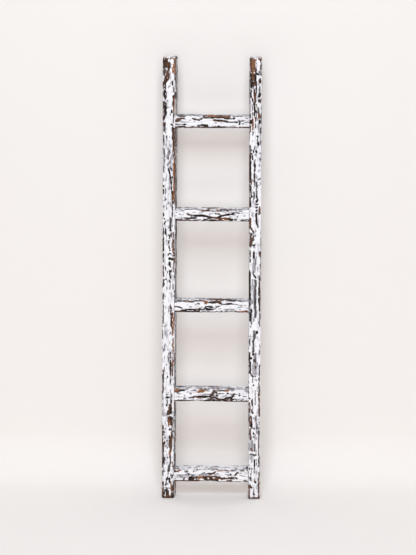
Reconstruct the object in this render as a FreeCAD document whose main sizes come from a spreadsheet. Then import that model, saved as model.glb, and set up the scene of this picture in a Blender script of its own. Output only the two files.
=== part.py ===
import FreeCAD, Part
import math
import os

import Sketcher

# A small decorative ladder: two square rails, leaning a little towards each other, and five
# square rungs that butt between them. A countersunk wood screw through each rail holds each
# end of each rung. Nothing moves.
#
# Millimetres. +Z runs up the ladder, +X to the right, and the front faces -Y. The origin lies
# on the floor, in the middle of the two feet.

SIZES = [
    ("ladder_height", 762.0, "floor to the top ends of the rails, 30 inches"),
    ("ladder_width", 165.1, "outside to outside, half-way up, 6.5 inches"),
    ("splay", 7.0, "how much wider the ladder is at its feet than at its top"),
    ("left_rail_width", 22.3, "side to side"),
    ("right_rail_width", 20.3, "side to side"),
    ("rail_depth", 23.5, "front to back"),
    ("rail_arris", 2.0, "rounding of the rails' long edges"),
    ("rail_end_chamfer", 1.8, "bevel round both ends of a rail"),
    ("rung_depth", 22.0, "front to back"),
    ("rung_setback", 0.8, "front of a rung behind the front of the rails"),
    ("rung_arris", 1.6, "rounding of the rungs' long edges"),
    ("rung_height", 19.5, "the three upper rungs, top to bottom"),
    ("second_rung_height", 21.5, "the rung above the lowest one"),
    ("lowest_rung_height", 22.5, "the stoutest rung"),
    ("first_rise", 30.5, "floor to the underside of the lowest rung"),
    ("first_pitch", 144.5, "underside of the lowest rung to that of the next"),
    ("top_horn", 96.5, "top of the highest rung to the ends of the rails"),
    ("screw_length", 41.0, "head and shank of a 1 5/8 inch wood screw"),
    ("screw_diameter", 3.6, "shank of a number 6 screw"),
    ("head_diameter", 7.0, "countersunk head"),
    ("head_height", 2.6, "countersunk head"),
    ("head_sink", 0.6, "head below the outer face of its rail"),
    ("shank_clearance", 0.2, "rail's hole round the shank"),
    ("pilot_clearance", 0.02, "rung's pilot hole round the screw"),
    ("shave_length", 78.0, "a long shave of the drawknife along an edge"),
    ("shave_depth", 1.4, "how far it bites past the rounded edge"),
    ("nick_length", 32.0, "a short shave"),
    ("nick_depth", 1.9, "how far it bites past the rounded edge"),
    ("hollow_length", 42.0, "the worn hollow under the lowest rung"),
    ("hollow_depth", 2.4, "how far it bites past the rounded edge"),
    ("heel_height", 20.5, "the flat shaved on the front of the left foot"),
    ("heel_depth", 1.3, "how far that flat lies behind the rail's front"),
]

RUNG_COUNT = 5
LEFT = -1
RIGHT = 1
SIDES = {"left": LEFT, "right": RIGHT}

# Where the drawknife took a front edge off a rail: side, edge, bay, millimetres above the bay's
# middle, and the kind of shave. Bay 0 lies below the lowest rung, and bay 5 above the highest.
INNER = -1
OUTER = 1
RAIL_SHAVES = [
    ("left", INNER, 1, 12.0, "shave"),
    ("left", INNER, 2, -14.0, "shave"),
    ("left", INNER, 3, 30.0, "nick"),
    ("left", INNER, 4, -6.0, "shave"),
    ("left", INNER, 5, -8.0, "nick"),
    ("left", OUTER, 2, 26.0, "nick"),
    ("left", OUTER, 4, 22.0, "shave"),
    ("right", INNER, 1, 34.0, "nick"),
    ("right", INNER, 3, 38.0, "nick"),
    ("right", INNER, 5, 4.0, "shave"),
    ("right", OUTER, 1, -12.0, "shave"),
    ("right", OUTER, 3, -20.0, "shave"),
]

# The same for the rungs: rung, edge, millimetres to the right of the ladder's middle, and the
# kind of shave.
UPPER = 1
LOWER = -1
RUNG_SHAVES = [
    (1, LOWER, -6.0, "hollow"),
    (1, UPPER, 22.0, "nick"),
    (2, UPPER, 14.0, "nick"),
    (2, LOWER, -26.0, "nick"),
    (3, LOWER, 32.0, "nick"),
    (4, UPPER, 8.0, "shave"),
    (5, LOWER, 24.0, "nick"),
]

DIAGONAL = math.sqrt(0.5)
CORNER_ROUNDING = math.sqrt(2.0) - 1.0

document = FreeCAD.newDocument("ladder")


def make_sheet():
    """The driving dimensions, each in a named cell that the sub-parts' expressions read."""
    sheet = document.addObject("Spreadsheet::Sheet", "Sizes")
    for row, (alias, value, meaning) in enumerate(SIZES, start=1):
        sheet.set(f"A{row}", alias)
        sheet.set(f"B{row}", str(value))
        sheet.set(f"C{row}", meaning)
        sheet.setAlias(f"B{row}", alias)
    document.recompute()


def size(alias):
    """The expression for one driving dimension."""
    return f"Sizes.{alias}"


# Places that several pieces share, as expressions.

FRONT_OF_RAILS = f"(-{size('rail_depth')} / 2)"
FRONT_OF_RUNGS = f"({FRONT_OF_RAILS} + {size('rung_setback')})"
MIDDLE_OF_RUNGS = f"({FRONT_OF_RUNGS} + {size('rung_depth')} / 2)"


def rung_height(number):
    """Rungs are numbered from the floor up."""
    names = {1: "lowest_rung_height", 2: "second_rung_height"}
    return size(names.get(number, "rung_height"))


def rung_underside(number):
    """The two lowest rungs have places of their own; the others share the rest evenly."""
    if number == 1:
        return size("first_rise")
    second = f"({size('first_rise')} + {size('first_pitch')})"
    highest = f"({size('ladder_height')} - {size('top_horn')} - {size('rung_height')})"
    share = (number - 2) / (RUNG_COUNT - 2)
    return f"({second} + ({highest} - {second}) * {share})"


def rung_topside(number):
    return f"({rung_underside(number)} + {rung_height(number)})"


def rung_middle(number):
    return f"({rung_underside(number)} + {rung_height(number)} / 2)"


def bay_middle(bay):
    """Half-way up the open bay above a rung, or above the floor."""
    low = "0" if bay == 0 else rung_topside(bay)
    high = size("ladder_height") if bay == RUNG_COUNT else rung_underside(bay + 1)
    return f"(({low} + {high}) / 2)"


def outer_face(side, height):
    """X of a rail's outer face at a height: the rails lean in by half the splay each."""
    lean = f"{size('splay')} / 2 * (0.5 - {height} / {size('ladder_height')})"
    return f"({SIDES[side]} * ({size('ladder_width')} / 2 + {lean}))"


def rail_width(side):
    return size(f"{side}_rail_width")


def inner_face(side, height):
    return f"({outer_face(side, height)} - {SIDES[side]} * {rail_width(side)})"


def origin_plane(body, role):
    for feature in body.Origin.OriginFeatures:
        if feature.Role == role:
            return feature
    raise RuntimeError(f"{body.Label} has no {role}")


def new_body(name):
    body = document.addObject("PartDesign::Body", name)
    body.Label = name
    return body


def outline(body, name, corners, role="XZ_Plane"):
    """A closed sketch whose corners, pairs of expressions, follow the sheet."""
    sketch = body.newObject("Sketcher::SketchObject", name)
    sketch.AttachmentSupport = [(origin_plane(body, role), "")]
    sketch.MapMode = "FlatFace"
    points = [
        FreeCAD.Vector(float(sketch.evalExpression(across)), float(sketch.evalExpression(up)), 0)
        for across, up in corners
    ]
    count = len(points)
    for index, point in enumerate(points):
        sketch.addGeometry(Part.LineSegment(point, points[(index + 1) % count]), False)
    for index in range(count):
        following = (index + 1) % count
        sketch.addConstraint(Sketcher.Constraint("Coincident", index, 2, following, 1))
    for index, (across, up) in enumerate(corners):
        for kind, expression, value in (
            ("DistanceX", across, points[index].x),
            ("DistanceY", up, points[index].y),
        ):
            added = sketch.addConstraint(Sketcher.Constraint(kind, -1, 1, index, 1, value))
            label = f"corner_{index}_{kind[-1].lower()}"
            sketch.renameConstraint(added, label)
            sketch.setExpression(f"Constraints.{label}", expression)
    return sketch


def timber(name, corners, front, depth):
    """A square timber: its front elevation, padded back from its front face."""
    body = new_body(name)
    sketch = outline(body, f"{name}_front", corners)
    # The sketch's own normal points to the front, so its offset is minus the face's Y.
    sketch.setExpression("AttachmentOffset.Base.z", f"-{front}")
    pad = body.newObject("PartDesign::Pad", f"{name}_sawn")
    pad.Profile = sketch
    pad.Reversed = True
    pad.setExpression("Length", depth)
    document.recompute()
    return body, pad


def longest_way(edge):
    """The axis that an edge mostly runs along."""
    box = edge.BoundBox
    spans = {"x": box.XLength, "y": box.YLength, "z": box.ZLength}
    return max(spans, key=spans.get)


def dress(body, base, feature, wanted, measure, alias):
    """A Fillet or a Chamfer on the edges that the wanted function picks."""
    edges = [
        f"Edge{number}"
        for number, edge in enumerate(base.Shape.Edges, start=1)
        if wanted(edge)
    ]
    dressed = body.newObject(f"PartDesign::{feature}", f"{body.Label}_{feature.lower()}")
    dressed.Base = (base, edges)
    dressed.setExpression(measure, size(alias))
    document.recompute()
    return dressed


def turned_cut(body, kind, name, base, axis):
    """A turned cutter, standing at a place given by three expressions, along a fixed axis."""
    cutter = body.newObject(f"PartDesign::Subtractive{kind}", name)
    turn = FreeCAD.Rotation(FreeCAD.Vector(0, 0, 1), FreeCAD.Vector(*axis))
    cutter.Placement = FreeCAD.Placement(FreeCAD.Vector(), turn)
    for letter, expression in zip("xyz", base):
        cutter.setExpression(f"Placement.Base.{letter}", expression)
    return cutter


def shave(body, name, corner, outward, along, kind, arris):
    """Hollows an edge with a wide cylinder that crosses it, deepest at the given corner.

    corner holds the expressions of a point on the square edge before it was rounded, outward
    the direction out of the timber there, and along the edge's own direction.
    """
    length = size(f"{kind}_length")
    bite = f"({size(f'{kind}_depth')} + {CORNER_ROUNDING} * {arris})"
    radius = f"(({length} ^ 2 / 4 + {bite} ^ 2) / (2 * {bite}))"
    outward = FreeCAD.Vector(*outward)
    axis = FreeCAD.Vector(*along).cross(outward)
    base = [
        f"{place} + {out} * ({radius} - {bite}) - {across} * {length} / 2"
        for place, out, across in zip(corner, outward, axis)
    ]
    cutter = turned_cut(body, "Cylinder", name, base, axis)
    cutter.setExpression("Radius", radius)
    cutter.setExpression("Height", length)


def drill(body, side, number):
    """Countersink and clearance hole of the screw that enters a rail."""
    outside = outer_face(side, rung_middle(number))
    inward = -SIDES[side]
    sunk = f"({outside} + {inward} * {size('head_sink')})"
    head = f"({size('head_diameter')} / 2)"
    shank = f"({size('screw_diameter')} / 2)"
    hole = f"({shank} + {size('shank_clearance')})"
    axis = (inward, 0, 0)
    height = rung_middle(number)

    # The countersink starts clear of the rail's face, which leans, and keeps the head's slope.
    clear = f"(2 * {size('head_sink')})"
    mouth = f"({head} + {clear} * ({head} - {shank}) / {size('head_height')})"
    countersink = turned_cut(body, "Cone", f"{body.Label}_countersink_{number}",
                             (f"{sunk} - {inward} * {clear}", MIDDLE_OF_RUNGS, height), axis)
    countersink.setExpression("Radius1", mouth)
    countersink.setExpression("Radius2", shank)
    countersink.setExpression("Height", f"{size('head_height')} + {clear}")

    through = turned_cut(body, "Cylinder", f"{body.Label}_hole_{number}",
                         (sunk, MIDDLE_OF_RUNGS, height), axis)
    through.setExpression("Radius", hole)
    through.setExpression("Height", rail_width(side))


def make_rail(side):
    """One rail: sawn to its lean, its edges taken off, drilled for the screws and shaved."""
    foot = "0"
    top = size("ladder_height")
    corners = [
        (inner_face(side, foot), foot),
        (outer_face(side, foot), foot),
        (outer_face(side, top), top),
        (inner_face(side, top), top),
    ]
    body, pad = timber(f"{side}_rail", corners, FRONT_OF_RAILS, size("rail_depth"))
    bevelled = dress(body, pad, "Chamfer", lambda edge: longest_way(edge) != "z",
                     "Size", "rail_end_chamfer")
    tall = bevelled.Shape.BoundBox.ZLength / 2
    dress(body, bevelled, "Fillet", lambda edge: edge.BoundBox.ZLength > tall,
          "Radius", "rail_arris")
    for number in range(1, RUNG_COUNT + 1):
        drill(body, side, number)
    shaves = [entry[1:] for entry in RAIL_SHAVES if entry[0] == side]
    for count, (edge, bay, above, kind) in enumerate(shaves, start=1):
        height = f"({bay_middle(bay)} + {above})"
        across = outer_face(side, height) if edge == OUTER else inner_face(side, height)
        outward = (SIDES[side] * edge * DIAGONAL, -DIAGONAL, 0)
        shave(body, f"{side}_rail_shave_{count}", (across, FRONT_OF_RAILS, height), outward,
              (0, 0, 1), kind, size("rail_arris"))
    return body


def make_heel(body):
    """The flat shaved on the front of the left foot, up to a square ledge."""
    edge = f"({outer_face('left', '0')} - {size('rail_depth')})"
    far = f"({inner_face('left', '0')} + {size('rail_depth')})"
    corners = [
        (edge, f"(-{size('heel_height')})"),
        (far, f"(-{size('heel_height')})"),
        (far, size("heel_height")),
        (edge, size("heel_height")),
    ]
    sketch = outline(body, "left_rail_heel", corners)
    sketch.setExpression("AttachmentOffset.Base.z", f"-{FRONT_OF_RAILS}")
    pocket = body.newObject("PartDesign::Pocket", "left_rail_heel_flat")
    pocket.Profile = sketch
    pocket.setExpression("Length", size("heel_depth"))


def make_rung(number):
    """One rung: cut to the rails' lean at both ends, eased along its length, and drilled."""
    low = rung_underside(number)
    high = rung_topside(number)
    corners = [
        (inner_face("left", low), low),
        (inner_face("right", low), low),
        (inner_face("right", high), high),
        (inner_face("left", high), high),
    ]
    body, pad = timber(f"rung_{number}", corners, FRONT_OF_RUNGS, size("rung_depth"))

    dress(body, pad, "Fillet", lambda edge: longest_way(edge) == "x", "Radius", "rung_arris")
    for side in SIDES:
        bite = f"({size('screw_length')} + {size('head_sink')} - {rail_width(side)})"
        pilot = turned_cut(body, "Cylinder", f"rung_{number}_pilot_{side}",
                           (outer_face(side, rung_middle(number)), MIDDLE_OF_RUNGS,
                            rung_middle(number)), (-SIDES[side], 0, 0))
        pilot.setExpression("Radius", f"{size('screw_diameter')} / 2 + {size('pilot_clearance')}")
        pilot.setExpression("Height", f"{rail_width(side)} + {bite} + {size('screw_diameter')}")
    shaves = [entry[1:] for entry in RUNG_SHAVES if entry[0] == number]
    for count, (edge, right, kind) in enumerate(shaves, start=1):
        height = high if edge == UPPER else low
        outward = (0, -DIAGONAL, edge * DIAGONAL)
        shave(body, f"rung_{number}_shave_{count}", (str(right), FRONT_OF_RUNGS, height), outward,
              (1, 0, 0), kind, size("rung_arris"))
    return body


def make_screw(side, number):
    """A countersunk wood screw, turned about its own +Z, without its thread and point."""
    name = f"screw_{side}_{number}"
    body = new_body(name)
    head = f"({size('head_diameter')} / 2)"
    shank = f"({size('screw_diameter')} / 2)"
    corners = [
        ("0", "0"),
        (head, "0"),
        (shank, size("head_height")),
        (shank, size("screw_length")),
        ("0", size("screw_length")),
    ]
    sketch = outline(body, f"{name}_profile", corners)
    turned = body.newObject("PartDesign::Revolution", f"{name}_turned")
    turned.Profile = sketch
    turned.ReferenceAxis = (sketch, ["V_Axis"])
    turned.Angle = 360

    inward = -SIDES[side]
    turn = FreeCAD.Rotation(FreeCAD.Vector(0, 0, 1), FreeCAD.Vector(inward, 0, 0))
    body.Placement = FreeCAD.Placement(FreeCAD.Vector(), turn)
    outside = outer_face(side, rung_middle(number))
    body.setExpression("Placement.Base.x", f"{outside} + {inward} * {size('head_sink')}")
    body.setExpression("Placement.Base.y", MIDDLE_OF_RUNGS)
    body.setExpression("Placement.Base.z", rung_middle(number))
    return body


def faults(bodies):
    """Everything that failed to compute or came out empty or invalid."""
    found = [
        f"{item.Label}: {', '.join(item.State)}"
        for item in document.Objects
        if {"Invalid", "Error"} & set(item.State)
    ]
    for body in bodies:
        shape = body.Shape
        if shape.isNull() or not shape.isValid() or len(shape.Solids) != 1:
            found.append(f"{body.Label}: not one valid solid")
    return found


make_sheet()
rails = [make_rail(side) for side in SIDES]
make_heel(rails[0])
rungs = [make_rung(number) for number in range(1, RUNG_COUNT + 1)]
screws = [make_screw(side, number) for side in SIDES for number in range(1, RUNG_COUNT + 1)]
pieces = rails + rungs + screws
document.recompute()

problems = faults(pieces)
if problems:
    raise RuntimeError("; ".join(problems))

os.makedirs("parts", exist_ok=True)
for piece in pieces:
    piece.Shape.exportStep(f"parts/{piece.Label}.step")
    box = piece.Shape.BoundBox
    print(f"{piece.Label}: {piece.Shape.Volume:.1f} mm3, x {box.XMin:.2f} to {box.XMax:.2f}, "
          f"y {box.YMin:.2f} to {box.YMax:.2f}, z {box.ZMin:.2f} to {box.ZMax:.2f}")
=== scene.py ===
# %% [markdown]
# # A little ladder in chipped white paint
#
# The real thing is a decorative ladder: two square rails, five square rungs between them and ten
# wood screws. Its maker stained the softwood dark, brushed a white paint over it, and then
# scraped and sanded the paint off again along the edges. The frame already holds every piece at
# its real size, so this lesson is about the looks: wood that shows through paint, in the right
# places, on every side.
#
# Everything is in metres. +Z runs up the ladder, +X to the right, and the front faces -Y.

# %% Load the frame
import itertools
import math

import bmesh
import bpy
import numpy as np
from mathutils import Matrix, Vector


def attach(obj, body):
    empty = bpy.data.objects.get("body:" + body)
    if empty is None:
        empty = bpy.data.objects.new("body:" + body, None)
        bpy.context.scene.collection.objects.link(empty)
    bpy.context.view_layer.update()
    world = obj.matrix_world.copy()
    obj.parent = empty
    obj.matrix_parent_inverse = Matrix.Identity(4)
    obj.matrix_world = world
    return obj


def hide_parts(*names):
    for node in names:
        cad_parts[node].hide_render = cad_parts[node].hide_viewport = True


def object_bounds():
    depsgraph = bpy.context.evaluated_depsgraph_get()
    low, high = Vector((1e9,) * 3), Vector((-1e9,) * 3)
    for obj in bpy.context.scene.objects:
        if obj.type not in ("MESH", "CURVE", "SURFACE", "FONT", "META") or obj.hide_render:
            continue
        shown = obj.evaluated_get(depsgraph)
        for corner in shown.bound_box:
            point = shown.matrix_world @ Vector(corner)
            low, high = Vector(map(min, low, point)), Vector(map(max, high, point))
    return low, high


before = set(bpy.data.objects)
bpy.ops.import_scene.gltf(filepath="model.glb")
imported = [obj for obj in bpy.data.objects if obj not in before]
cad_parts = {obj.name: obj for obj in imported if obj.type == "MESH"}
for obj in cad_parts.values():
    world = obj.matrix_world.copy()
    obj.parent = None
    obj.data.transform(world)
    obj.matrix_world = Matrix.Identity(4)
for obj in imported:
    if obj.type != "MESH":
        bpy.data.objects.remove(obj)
cad_low, cad_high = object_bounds()
MM = 0.001
RUNG_COUNT = sum(node.startswith("rung_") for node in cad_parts)
print("CAD nodes:", len(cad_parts), "box:", tuple(cad_low), tuple(cad_high))

# %% [markdown]
# ## The camera
#
# The photograph was taken from above the ladder's top, looking a little down, with a long lens.
# Its place was worked out from the corners of the rails and rungs. The ladder isn't in the
# middle of the picture, and that is what the small shift of the lens is for.

# %% Camera
PHOTO_WIDE = 416
PHOTO_TALL = 555
LENS_CENTRE = (258.0, 214.6)
FOCAL_PIXELS = 1858.0
SENSOR_MM = 36.0
EYE = Vector((0.060, -3.0118, 1.1894))
YAW = -0.0055
PITCH = 0.2254
ROLL = 0.0097

forward = Vector((-math.sin(YAW) * math.cos(PITCH), math.cos(YAW) * math.cos(PITCH), -math.sin(PITCH)))
level = Vector((math.cos(YAW), math.sin(YAW), 0.0))
upright = level.cross(forward)
right = level * math.cos(ROLL) + upright * math.sin(ROLL)
up = upright * math.cos(ROLL) - level * math.sin(ROLL)

lens = bpy.data.cameras.new("camera")
lens.sensor_width = SENSOR_MM
lens.lens = SENSOR_MM * FOCAL_PIXELS / PHOTO_TALL
lens.shift_x = (PHOTO_WIDE / 2 - LENS_CENTRE[0]) / PHOTO_TALL
lens.shift_y = (LENS_CENTRE[1] - PHOTO_TALL / 2) / PHOTO_TALL
camera = bpy.data.objects.new("camera", lens)
camera.matrix_world = Matrix.Translation(EYE) @ Matrix((right, up, -forward)).transposed().to_4x4()
bpy.context.scene.collection.objects.link(camera)
bpy.context.scene.camera = camera
print(f"camera: {lens.lens:.1f} mm lens, shift {lens.shift_x:.3f}, {lens.shift_y:.3f}")

# %% [markdown]
# ## The light and the backdrop
#
# The ladder stands on a pale floor, close in front of a seamless pale backdrop. A soft lamp above
# the camera throws the rungs' shadows on to the backdrop. A wide panel near the camera and the
# world fill them in, and a third lamp overhead lights the floor. The levels are plain ones: a
# colour comes out about as it is written.
#
# In the photograph the lower rungs throw their shadows further down than the upper ones. So the
# real ladder leans back a little, and here the backdrop leans toward the upright ladder instead.
#
# The backdrop has a front only. From behind, the ladder is seen through it.

# %% Light
KEY_HEIGHT = 44.0
KEY_DISTANCE = 3.2
KEY_SIDE = 1.1
KEY_WATTS = 44.0
KEY_COLOUR = (0.76, 0.89, 1.0)
PANEL_HEIGHT = 14.0
PANEL_DISTANCE = 3.6
PANEL_SIDE = 2.0
PANEL_WATTS = 41.0
PANEL_COLOUR = (1.0, 0.92, 0.86)
TOP_HEIGHT = 78.0
TOP_DISTANCE = 2.5
TOP_SIDE = 1.8
TOP_WATTS = 11.0
TOP_COLOUR = (1.0, 0.95, 0.92)
FILL_LEVEL = 0.25
FILL_COLOUR = (1.0, 0.89, 0.82, 1.0)
PALE_COLOUR = (0.93, 0.90, 0.88, 1.0)

ladder_middle = (cad_low + cad_high) / 2


def soft_lamp(name, height, distance, side, watts, colour):
    """A square lamp in front of the ladder, so many degrees up, that faces its middle."""
    light = bpy.data.lights.new(name, "AREA")
    light.shape = "SQUARE"
    light.size = side
    light.energy = watts
    light.color = colour
    lamp = bpy.data.objects.new(name, light)
    toward = Vector((0.0, -math.cos(math.radians(height)), math.sin(math.radians(height))))
    lamp.location = ladder_middle + toward * distance
    lamp.rotation_mode = "QUATERNION"
    lamp.rotation_quaternion = toward.to_track_quat("Z", "Y")
    lamp.visible_camera = False
    bpy.context.scene.collection.objects.link(lamp)
    return lamp


softbox = soft_lamp("softbox", KEY_HEIGHT, KEY_DISTANCE, KEY_SIDE, KEY_WATTS, KEY_COLOUR)
soft_lamp("panel", PANEL_HEIGHT, PANEL_DISTANCE, PANEL_SIDE, PANEL_WATTS, PANEL_COLOUR)
soft_lamp("overhead", TOP_HEIGHT, TOP_DISTANCE, TOP_SIDE, TOP_WATTS, TOP_COLOUR)
print(f"softbox at {tuple(round(c, 2) for c in softbox.location)}")

# %% [markdown]
# ## Shader maths as plain expressions
#
# A finish is a few layers and the masks between them. Written as nodes one by one, that is long
# to read. So one small class wraps an output socket, and sums on it add the Math nodes.

# %% Sockets that can be written in sums
class Value:
    """An output socket of a finish."""

    def __init__(self, finish, socket):
        self.finish = finish
        self.socket = socket

    def combined(self, operation, first, second):
        return self.finish.node("ShaderNodeMath", {"operation": operation}, {0: first, 1: second})

    def __add__(self, other):
        return self.combined("ADD", self, other)

    def __radd__(self, other):
        return self.combined("ADD", other, self)

    def __sub__(self, other):
        return self.combined("SUBTRACT", self, other)

    def __rsub__(self, other):
        return self.combined("SUBTRACT", other, self)

    def __mul__(self, other):
        return self.combined("MULTIPLY", self, other)


class Finish:
    """A material, its shader and the nodes that feed it."""

    def __init__(self, name):
        self.material = bpy.data.materials.new(name)
        self.material.use_nodes = True
        self.tree = self.material.node_tree
        self.tree.nodes.clear()
        self.shader = self.tree.nodes.new("ShaderNodeBsdfPrincipled")
        self.output = self.tree.nodes.new("ShaderNodeOutputMaterial")
        self.show(Value(self, self.shader.outputs[0]))

    def show(self, shader):
        """Makes a shader the one that the surface wears."""
        self.feed(self.output.inputs["Surface"], shader)

    def node(self, kind, settings=None, inputs=None, output=0):
        """Adds a node: its settings first, then the values or links of its inputs."""
        made = self.tree.nodes.new(kind)
        for key, value in (settings or {}).items():
            if key == "stops":
                self.set_stops(made.color_ramp, value)
            else:
                setattr(made, key, value)
        for key, value in (inputs or {}).items():
            self.feed(made.inputs[key], value)
        return Value(self, made.outputs[output])

    def feed(self, socket, value):
        if isinstance(value, Value):
            self.tree.links.new(value.socket, socket)
        else:
            socket.default_value = value

    def set_stops(self, ramp, stops):
        while len(ramp.elements) < len(stops):
            ramp.elements.new(0.5)
        for element, (place, colour) in zip(ramp.elements, stops):
            element.position = place
            element.color = colour

    def step(self, value, middle, softness):
        """0 below the middle and 1 above it, with a soft crossing."""
        ends = {"From Min": middle - softness, "From Max": middle + softness}
        settings = {"interpolation_type": "SMOOTHSTEP"}
        return self.node("ShaderNodeMapRange", settings, {"Value": value, **ends})

    def blended(self, share, first, second):
        """Two colours mixed by a share. The colour sockets of a Mix node have places of their own."""
        inputs = {0: share, 6: first, 7: second}
        return self.node("ShaderNodeMix", {"data_type": "RGBA"}, inputs, 2)


def seen(red, green, blue):
    """A colour as an eye reads it, 0 to 255, in the linear values that a shader wants."""
    shares = [c / 255 for c in (red, green, blue)]
    return tuple(s / 12.92 if s <= 0.04045 else ((s + 0.055) / 1.055) ** 2.4 for s in shares) + (1.0,)


print("mid grey is", tuple(round(c, 3) for c in seen(128, 128, 128)))

# %% [markdown]
# ## The floor and the backdrop
#
# Photographers use one sheet of paper that curves up behind the object. Here a single edge is
# spun a little more than a quarter turn for the curve. Then the sheet is pulled forward from the
# start of the curve and up from its end.

# %% Backdrop
SHEET_HALF_WIDTH = 2.2
SHEET_FRONT = -5.0
SHEET_TOP = 3.2
WALL_PLACE = 0.104
WALL_LEAN = math.radians(5.0)
CURVE_RADIUS = 0.075
CURVE_STEPS = 16
SHEET_FADE = 1.75
SHEET_FADE_SOFT = 0.40


def pulled(sheet, edges, move):
    """Extrudes edges by a move and returns the new ones."""
    made = bmesh.ops.extrude_edge_only(sheet, edges=edges)["geom"]
    bmesh.ops.translate(sheet, verts=[g for g in made if isinstance(g, bmesh.types.BMVert)], vec=move)
    return [g for g in made if isinstance(g, bmesh.types.BMEdge)]


def make_backdrop():
    """The sheet, and a floor behind it that only shows in views from the back."""
    sheet = bmesh.new()
    bmesh.ops.create_grid(sheet, x_segments=1, y_segments=1, size=SHEET_HALF_WIDTH)
    bmesh.ops.translate(sheet, verts=sheet.verts, vec=(0, WALL_PLACE + SHEET_HALF_WIDTH, 0))
    curve_start = WALL_PLACE - CURVE_RADIUS
    ends = [sheet.verts.new((side * SHEET_HALF_WIDTH, curve_start, 0.0)) for side in (-1, 1)]
    low_edge = sheet.edges.new(ends)
    pulled(sheet, [low_edge], (0, SHEET_FRONT - curve_start, 0))
    spun = bmesh.ops.spin(sheet, geom=[low_edge, *ends], cent=(0, curve_start, CURVE_RADIUS), axis=(1, 0, 0),
                          angle=math.radians(90) + WALL_LEAN, steps=CURVE_STEPS, use_duplicate=False)
    last = [g for g in spun["geom_last"] if isinstance(g, bmesh.types.BMEdge)]
    pulled(sheet, last, (0, -SHEET_TOP * math.sin(WALL_LEAN), SHEET_TOP * math.cos(WALL_LEAN)))
    bmesh.ops.recalc_face_normals(sheet, faces=sheet.faces)
    if sum(face.normal.z * face.calc_area() for face in sheet.faces) < 0:
        bmesh.ops.reverse_faces(sheet, faces=sheet.faces)
    mesh = bpy.data.meshes.new("backdrop")
    sheet.to_mesh(mesh)
    sheet.free()
    for face in mesh.polygons:
        face.use_smooth = True
    return mesh


def paper():
    """Matt pale paper with a front only. Its back lets the view through, and so does its far end."""
    finish = Finish("backdrop_paper")
    finish.feed(finish.shader.inputs["Base Color"], PALE_COLOUR)
    finish.feed(finish.shader.inputs["Roughness"], 1.0)
    finish.feed(finish.shader.inputs["Specular IOR Level"], 0.0)
    behind = finish.node("ShaderNodeNewGeometry", output="Backfacing")
    where = finish.node("ShaderNodeTexCoord", output="Object")
    away = finish.node("ShaderNodeVectorMath", {"operation": "LENGTH"}, {0: where}, "Value")
    far = finish.step(away, SHEET_FADE, SHEET_FADE_SOFT)
    hidden = finish.node("ShaderNodeMath", {"operation": "MAXIMUM"}, {0: behind, 1: far})
    clear = finish.node("ShaderNodeBsdfTransparent")
    sheet = Value(finish, finish.shader.outputs[0])
    finish.show(finish.node("ShaderNodeMixShader", None, {0: hidden, 1: sheet, 2: clear}))
    return finish.material


backdrop = bpy.data.objects.new("backdrop", make_backdrop())
backdrop.data.materials.append(paper())
bpy.context.scene.collection.objects.link(backdrop)
print("backdrop faces:", len(backdrop.data.polygons))

# %% [markdown]
# The world is one dim, warm colour where it lights things. The camera and smooth surfaces see the
# backdrop's own pale colour in its place, so the picture stays pale out to its edges.

# %% World light
world = bpy.data.worlds.new("studio")
world.use_nodes = True
bpy.context.scene.world = world
sky = world.node_tree
fill = sky.nodes["Background"]
fill.inputs["Color"].default_value = FILL_COLOUR
fill.inputs["Strength"].default_value = FILL_LEVEL
surround = sky.nodes.new("ShaderNodeBackground")
surround.inputs["Color"].default_value = PALE_COLOUR
path = sky.nodes.new("ShaderNodeLightPath")
mixed = sky.nodes.new("ShaderNodeMixShader")
shown = path.outputs["Is Camera Ray"]
for kind_of_ray in ("Is Glossy Ray", "Is Transmission Ray"):
    either = sky.nodes.new("ShaderNodeMath")
    either.operation = "MAXIMUM"
    sky.links.new(shown, either.inputs[0])
    sky.links.new(path.outputs[kind_of_ray], either.inputs[1])
    shown = either.outputs[0]
sky.links.new(shown, mixed.inputs[0])
sky.links.new(fill.outputs[0], mixed.inputs[1])
sky.links.new(surround.outputs[0], mixed.inputs[2])
sky.links.new(mixed.outputs[0], sky.nodes["World Output"].inputs["Surface"])
print("fill level:", FILL_LEVEL)

# %% [markdown]
# ## Timber that can carry wear
#
# On the real ladder the wear is relief as much as colour: the paint is a film, and where it has
# gone the wood lies lower. A CAD mesh has only a few long triangles, which can't hold that. So
# each timber is copied, its loose triangles are sewn together, and a voxel remesh covers it with
# small even faces. It keeps the shaved edges, the heel and the screw holes of the frame.

# %% An even copy of a timber
SEAM = 1e-6


def sewn_copy(node):
    """A frame node's mesh with its loose triangles merged."""
    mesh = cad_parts[node].data.copy()
    sewn = bmesh.new()
    sewn.from_mesh(mesh)
    bmesh.ops.remove_doubles(sewn, verts=sewn.verts, dist=SEAM)
    sewn.to_mesh(mesh)
    sewn.free()
    mesh.materials.clear()
    return mesh


def evaluated(piece):
    """The mesh of a piece with its modifiers applied."""
    graph = bpy.context.evaluated_depsgraph_get()
    mesh = bpy.data.meshes.new_from_object(piece.evaluated_get(graph))
    piece.modifiers.clear()
    return mesh


def even_copy(node, name, voxel):
    """A new piece with the shape of a frame node and small even faces."""
    piece = bpy.data.objects.new(name, sewn_copy(node))
    bpy.context.scene.collection.objects.link(piece)
    remesh = piece.modifiers.new("even_skin", "REMESH")
    remesh.mode = "VOXEL"
    remesh.voxel_size = voxel
    remesh.use_smooth_shade = True
    piece.data = evaluated(piece)
    return piece


# %% [markdown]
# Wear is never even, and it is longer along the grain than across it. This noise is worked out
# for all the points at once, so that it can be stretched along each timber.

# %% Smooth noise over many points at once
ALL_BITS = 0xFFFFFFFF
AXIS_PRIMES = (73856093, 19349663, 83492791)
SEED_STRIDE = 265443576
FIRST_STIR = 2246822519
SECOND_STIR = 3266489917
NOISE_GAIN = 1.6


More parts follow.
